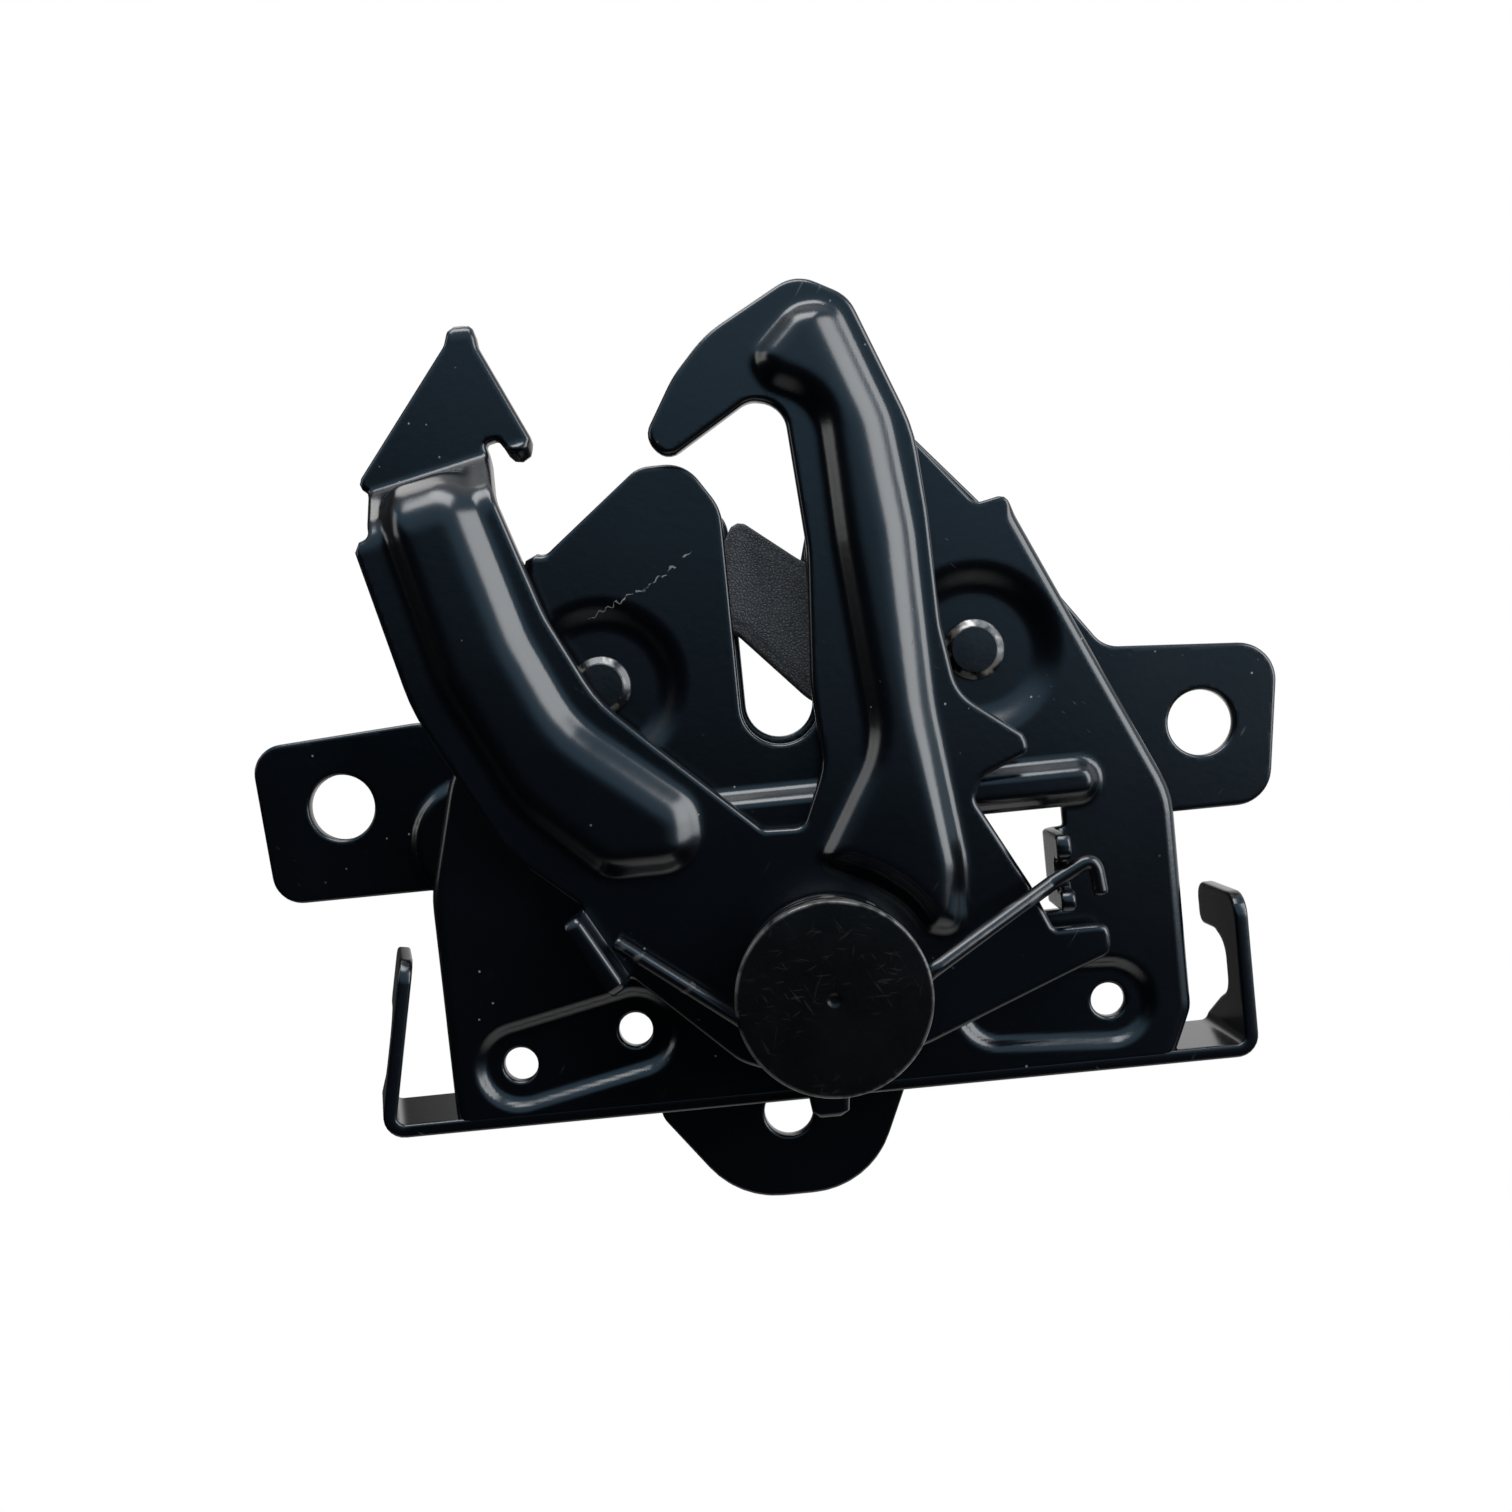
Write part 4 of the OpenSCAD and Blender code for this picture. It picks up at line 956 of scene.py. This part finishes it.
def feed(shader, **signals):
    """Links signals to the shader's inputs."""
    for key, signal in signals.items():
        signal.tree.links.new(signal.socket, shader.inputs[key.replace("_", " ")])


# %% Patterns
def noise(place, scale, detail=3.0, stretch=(1, 1, 1), turn_deg=(0, 0, 0)):
    """Cloudy noise on object coordinates, turned and then drawn out."""
    moved = place.node("ShaderNodeMapping", {"vector_type": "TEXTURE"},
                       {"Vector": place, "Scale": stretch, "Rotation": tuple(np.radians(turn_deg))})
    return place.node("ShaderNodeTexNoise", None, {"Vector": moved, "Scale": scale, "Detail": detail})


def scratches(place, scale, turn_deg, low=0.68, high=0.74, drawn_out=14):
    """Thin lines: noise drawn out along one direction, of which only the crests are kept."""
    return noise(place, scale, 1.0, (1, 1, drawn_out), turn_deg).step(low, high)


def scratch_line(place, start, end, width, jag):
    """One jagged scratch between two places in the XZ plane, in millimetres. The distance across the line is
    shaken by noise, and the line shows where that distance is less than its width."""
    start, end = np.asarray(start, float) * MM, np.asarray(end, float) * MM
    run = (end - start) / np.linalg.norm(end - start)
    x, _, z = place.axes()
    x, z = x - start[0], z - start[1]
    along = x * run[0] + z * run[1]
    across = z * run[0] - x * run[1] + (noise(place, 900, 1.0) - 0.5) * (jag * MM)
    line = 1 - (across * across).step((0.4 * width * MM) ** 2, (width * MM) ** 2)
    length = np.linalg.norm(end - start)
    ends = along.step(0, 0.1 * length) * (1 - along.step(0.9 * length, length))
    return line * ends * noise(place, 1300, 1.0).step(0.35, 0.5)


def specks(place, scale, size):
    """Small round spots at the centres of a pattern of cells, where a slow noise lets them show."""
    spot = place.node("ShaderNodeTexVoronoi", None, {"Vector": place, "Scale": scale, "Randomness": 1.0})
    return (1 - spot.step(size * 0.6, size)) * noise(place, scale * 0.11).step(0.52, 0.62)


def bump(place, height, strength, depth=0.0002):
    """Tilts the normal by the slope of a height, which is scaled by a depth in metres."""
    return place.node("ShaderNodeBump", None, {"Strength": strength, "Distance": depth, "Height": height})


# %% [markdown]
# ## Black dip coat
# The plates and the lever carry a glossy black dip coat. It has a faint orange peel, drawn-out scuffs, a few
# pale specks and slightly duller patches. The coat's own gloss makes the bright lines along rolled edges.
# An even black would look like plastic, so the patterns change the gloss as well as the colour.

# %% Coat materials
coat_black, scuff_grey = (0.0012, 0.0018, 0.003), (0.2, 0.205, 0.21)
wire_black, wire_grey = (0.002, 0.0024, 0.0035), (0.12, 0.12, 0.12)
horn_scratches = [((-21.5, 21.2), (-13.6, 24.7)), ((-14.2, 24), (-7, 28.5))]
gouge_width, gouge_jag = 0.13, 1.8
coat, shader, place = finish("black_dip_coat", Specular_IOR_Level=0.5, IOR=1.5)
peel = noise(place, 900, 2.0)
patches = noise(place, 60, 3.0)
lines = (scratches(place, 1700, (0, 35, 0), 0.71, 0.77) * noise(place, 90, 2.0).step(0.56, 0.68)
         + scratches(place, 2100, (0, -50, 20), 0.71, 0.77) * noise(place, 70, 2.0).step(0.6, 0.7))
lower_gouge, upper_gouge = (scratch_line(place, *ends, gouge_width, gouge_jag) for ends in horn_scratches)
gouges = lower_gouge + upper_gouge
dust = specks(place, 420, 0.075)
feed(shader,
     Base_Color=(lines * 0.13 + dust * 0.9 + gouges * 0.8).mix(coat_black, scuff_grey),
     Roughness=0.17 + patches * 0.1 + lines * 0.15 + dust * 0.3 + gouges * 0.2,
     Normal=bump(place, peel + lines * 0.3, 0.05))
for piece in (lever, front, flange, base, bpy.data.objects["claw_post"], bpy.data.objects["pawl_post"]):
    piece.data.materials.append(coat)

wire_coat, shader, place = finish("black_wire_coat", Specular_IOR_Level=0.5)
rub = scratches(place, 600, (0, 60, 0), 0.6, 0.7)
feed(shader,
     Base_Color=(rub * 0.4).mix(wire_black, wire_grey),
     Roughness=0.18 + noise(place, 300) * 0.12,
     Normal=bump(place, rub, 0.06))
lever_spring.data.materials.append(wire_coat)

# %% [markdown]
# ## Grained coat on the claw
# The claw's moulded coat has a leather grain: small cells with valleys between them, and a dull finish. A
# pattern of cells gives the grain on every side of the claw, which a flat image would smear on its edges.

# %% Claw material
grain_dark, grain_light = (0.035, 0.038, 0.043), (0.11, 0.115, 0.124)
grain_scale, grain_depth = 2400.0, 0.0003
grain_coat, shader, place = finish("grained_claw_coat", Specular_IOR_Level=0.4)
cells = place.node("ShaderNodeTexVoronoi", {"feature": "DISTANCE_TO_EDGE"},
                   {"Vector": place, "Scale": grain_scale})
grain = cells.step(0.02, 0.25)
feed(shader,
     Base_Color=(grain * 0.7 + noise(place, 200) * 0.3).mix(grain_dark, grain_light),
     Roughness=0.46 + noise(place, 500) * 0.2,
     Normal=bump(place, grain, 0.35, grain_depth))
claw.data.materials.append(grain_coat)

# %% [markdown]
# ## Pivot cap and rivets
# The cap is dull black, finely scratched in all directions, and rubbed bright at its rim. The two rivets keep
# their black coat on the flat of the head, while the formed cone round it is worn to steel. The wear is
# worked out from the distance to each axis, so that no mask has to be painted.


# %% Cap and rivet materials
def radius_about(place, pin):
    """Distance from the axis through pin, in metres: the length of the X and Z offsets."""
    x, _, z = place.axes()
    x, z = x - pin[0] * MM, z - pin[1] * MM
    return (x * x + z * z) ** 0.5


cap_black, cap_grey, worn_steel = (0.001, 0.0011, 0.0013), (0.2, 0.195, 0.19), (0.22, 0.21, 0.2)
bright_rim, cone_in_m, cone_out_m = 0.5, (0.0028, 0.00305), (0.0038, 0.004)
dull, shader, place = finish("dull_cap_coat", Specular_IOR_Level=0.22)
rho = radius_about(place, lever_pin)
hairs = scratches(place, 2300, (0, 88, 0), 0.67, 0.72, 7)
for k, angle in enumerate((15, 62, -28, -71)):
    hairs = hairs + scratches(place, 1900 + 150 * k, (0, angle, 0), 0.67, 0.73, 8)
hairs = hairs * noise(place, 150, 2.0).step(0.42, 0.62)
rim = rho.step((cap_r - bright_rim) * MM, cap_r * MM) * noise(place, 500, 2.0).step(0.3, 0.6)
feed(shader,
     Base_Color=(hairs * 0.03 + rim * 0.7).mix(cap_black, cap_grey),
     Roughness=0.26 + noise(place, 250) * 0.14 + hairs * 0.03,
     Metallic=rim * 0.5,
     Normal=bump(place, hairs * 0.5 + noise(place, 1200, 3.0), 0.12))
pivot.data.materials.append(dull)

for node, pin in (("claw_rivet", claw_pin), ("pawl_rivet", pawl_pin)):
    rivet_coat, shader, place = finish(node + "_coat", Specular_IOR_Level=0.5)
    rho = radius_about(place, pin)
    worn = rho.step(*cone_in_m) * (1 - rho.step(*cone_out_m)) * noise(place, 420, 2.0).step(0.48, 0.66)
    feed(shader,
         Base_Color=worn.mix(wire_black, worn_steel),
         Roughness=0.2 + noise(place, 600) * 0.12,
         Metallic=worn * 0.6,
         Normal=bump(place, noise(place, 1400, 3.0), 0.1))
    bpy.data.objects[node + "_turned"].data.materials.append(rivet_coat)

# %% [markdown]
# ## Hidden steel
# The pawl and the two pull springs sit between the plates. The pawl keeps its solid's own shape and gets a
# dark, slightly oily steel; the springs are plain spring steel. Little of them is seen, so simple noise does.

# %% Steel materials
oily_dark, oily_light = (0.012, 0.012, 0.013), (0.05, 0.05, 0.052)
spring_dark, spring_light = (0.22, 0.21, 0.2), (0.42, 0.42, 0.42)
pawl_steel, shader, place = finish("pawl_dark_steel", Specular_IOR_Level=0.5)
wear = noise(place, 180, 4.0)
feed(shader,
     Base_Color=wear.mix(oily_dark, oily_light),
     Roughness=0.32 + wear * 0.2,
     Normal=bump(place, noise(place, 1500), 0.08))
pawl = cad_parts["pawl"]
pawl.data.materials.clear()
pawl.data.materials.append(pawl_steel)

spring_steel, shader, place = finish("pull_spring_steel", Metallic=1.0)
feed(shader,
     Base_Color=noise(place, 400).mix(spring_dark, spring_light),
     Roughness=0.28 + noise(place, 700) * 0.2)
for piece in (claw_spring, pawl_spring):
    piece.data.materials.append(spring_steel)

# %% [markdown]
# ## Light and background
# The photograph has a pure white background and a dim, bluish room in front of the latch that gets lighter
# to the top and right, so flat faces stay black at the lower left and turn slightly blue at the upper right,
# while bends and edges shine. The world is white for camera rays. Reflections see white behind the latch,
# dimmer at the left, and the dim room in front of it. The pale floor lies well below, so upright faces don't
# mirror it, and it fades into the white towards its sides. More lamps could whiten the background too, but
# they would also wash out the black coat.

# %% World
room_blue, white = (0.42, 0.72, 1.0), (1, 1, 1)
plain_light, left_light, lean_right = 0.16, 0.05, 0.45
world = bpy.data.worlds.new("white_room")
world.use_nodes = True
scene.world = world
tree = world.node_tree
room = Signal(tree)
camera_ray, glossy, through = (room.node("ShaderNodeLightPath", output=ray)
                               for ray in ("Is Camera Ray", "Is Glossy Ray", "Is Transmission Ray"))
right, away, up = room.node("ShaderNodeTexCoord", output="Generated").axes()
from_right = right.step(-0.3, 0.05)
behind = away.step(-0.25, 0.45)
upward = (up + lean_right * right).step(-0.1, 0.35)
white_share = 1 - glossy * (1 - behind)
shown = plain_light + (1 - plain_light) * room.math("MINIMUM", camera_ray + through, 1.0)
mirrored = behind * (left_light + (1 - left_light) * from_right) + (1 - behind) * upward
strength = shown * (1 - glossy) + glossy * mirrored
background = tree.nodes["Background"]
tree.links.new(white_share.mix(room_blue, white).socket, background.inputs["Color"])
tree.links.new(strength.socket, background.inputs["Strength"])
print("world made, plain light", plain_light)

# %% Floor
floor_z, floor_near, floor_far, floor_side = -0.4, -0.6, 0.5, 0.6
fade_from, fade_to = 0.1, 0.5
floor_dark, floor_light = (0.82, 0.82, 0.82), (0.88, 0.88, 0.88)
floor_mesh = bpy.data.meshes.new("pale_floor")
floor_mesh.from_pydata([(-floor_side, floor_near, floor_z), (floor_side, floor_near, floor_z),
                        (floor_side, floor_far, floor_z), (-floor_side, floor_far, floor_z)],
                       [], [(0, 1, 2, 3)])
floor = bpy.data.objects.new("pale_floor", floor_mesh)
scene.collection.objects.link(floor)
floor_paint, shader, place = finish("floor_pale", Roughness=0.9)
across, deep, _ = place.axes()
feed(shader,
     Base_Color=noise(place, 3.0).mix(floor_dark, floor_light),
     Alpha=1 - ((across * across + deep * deep) ** 0.5).step(fade_from, fade_to))
floor_mesh.materials.append(floor_paint)


# %% Lamps
def soft_lamp(name, place, target, size, power):
    """A rectangular area lamp that points at a target."""
    data = bpy.data.lights.new(name, "AREA")
    data.shape = "RECTANGLE"
    data.size, data.size_y = size
    data.energy = power
    made = bpy.data.objects.new(name, data)
    made.location = place
    made.rotation_mode = "QUATERNION"
    made.rotation_quaternion = (Vector(target) - Vector(place)).to_track_quat("-Z", "Y")
    scene.collection.objects.link(made)
    print(name, power, "W")


latch_middle = (0, 0, 0.02)
soft_lamp("lamp_above", (-0.05, -0.22, 0.6), latch_middle, (0.5, 0.3), 4.0)
soft_lamp("lamp_right", (0.5, -0.34, 0.18), latch_middle, (0.4, 0.55), 4.5)
soft_lamp("lamp_left", (-0.6, -0.12, 0.25), latch_middle, (0.2, 0.4), 0.6)
soft_lamp("lamp_back", (-0.14, 0.2, 0.42), (-0.04, 0, 0.035), (0.26, 0.22), 0.6)
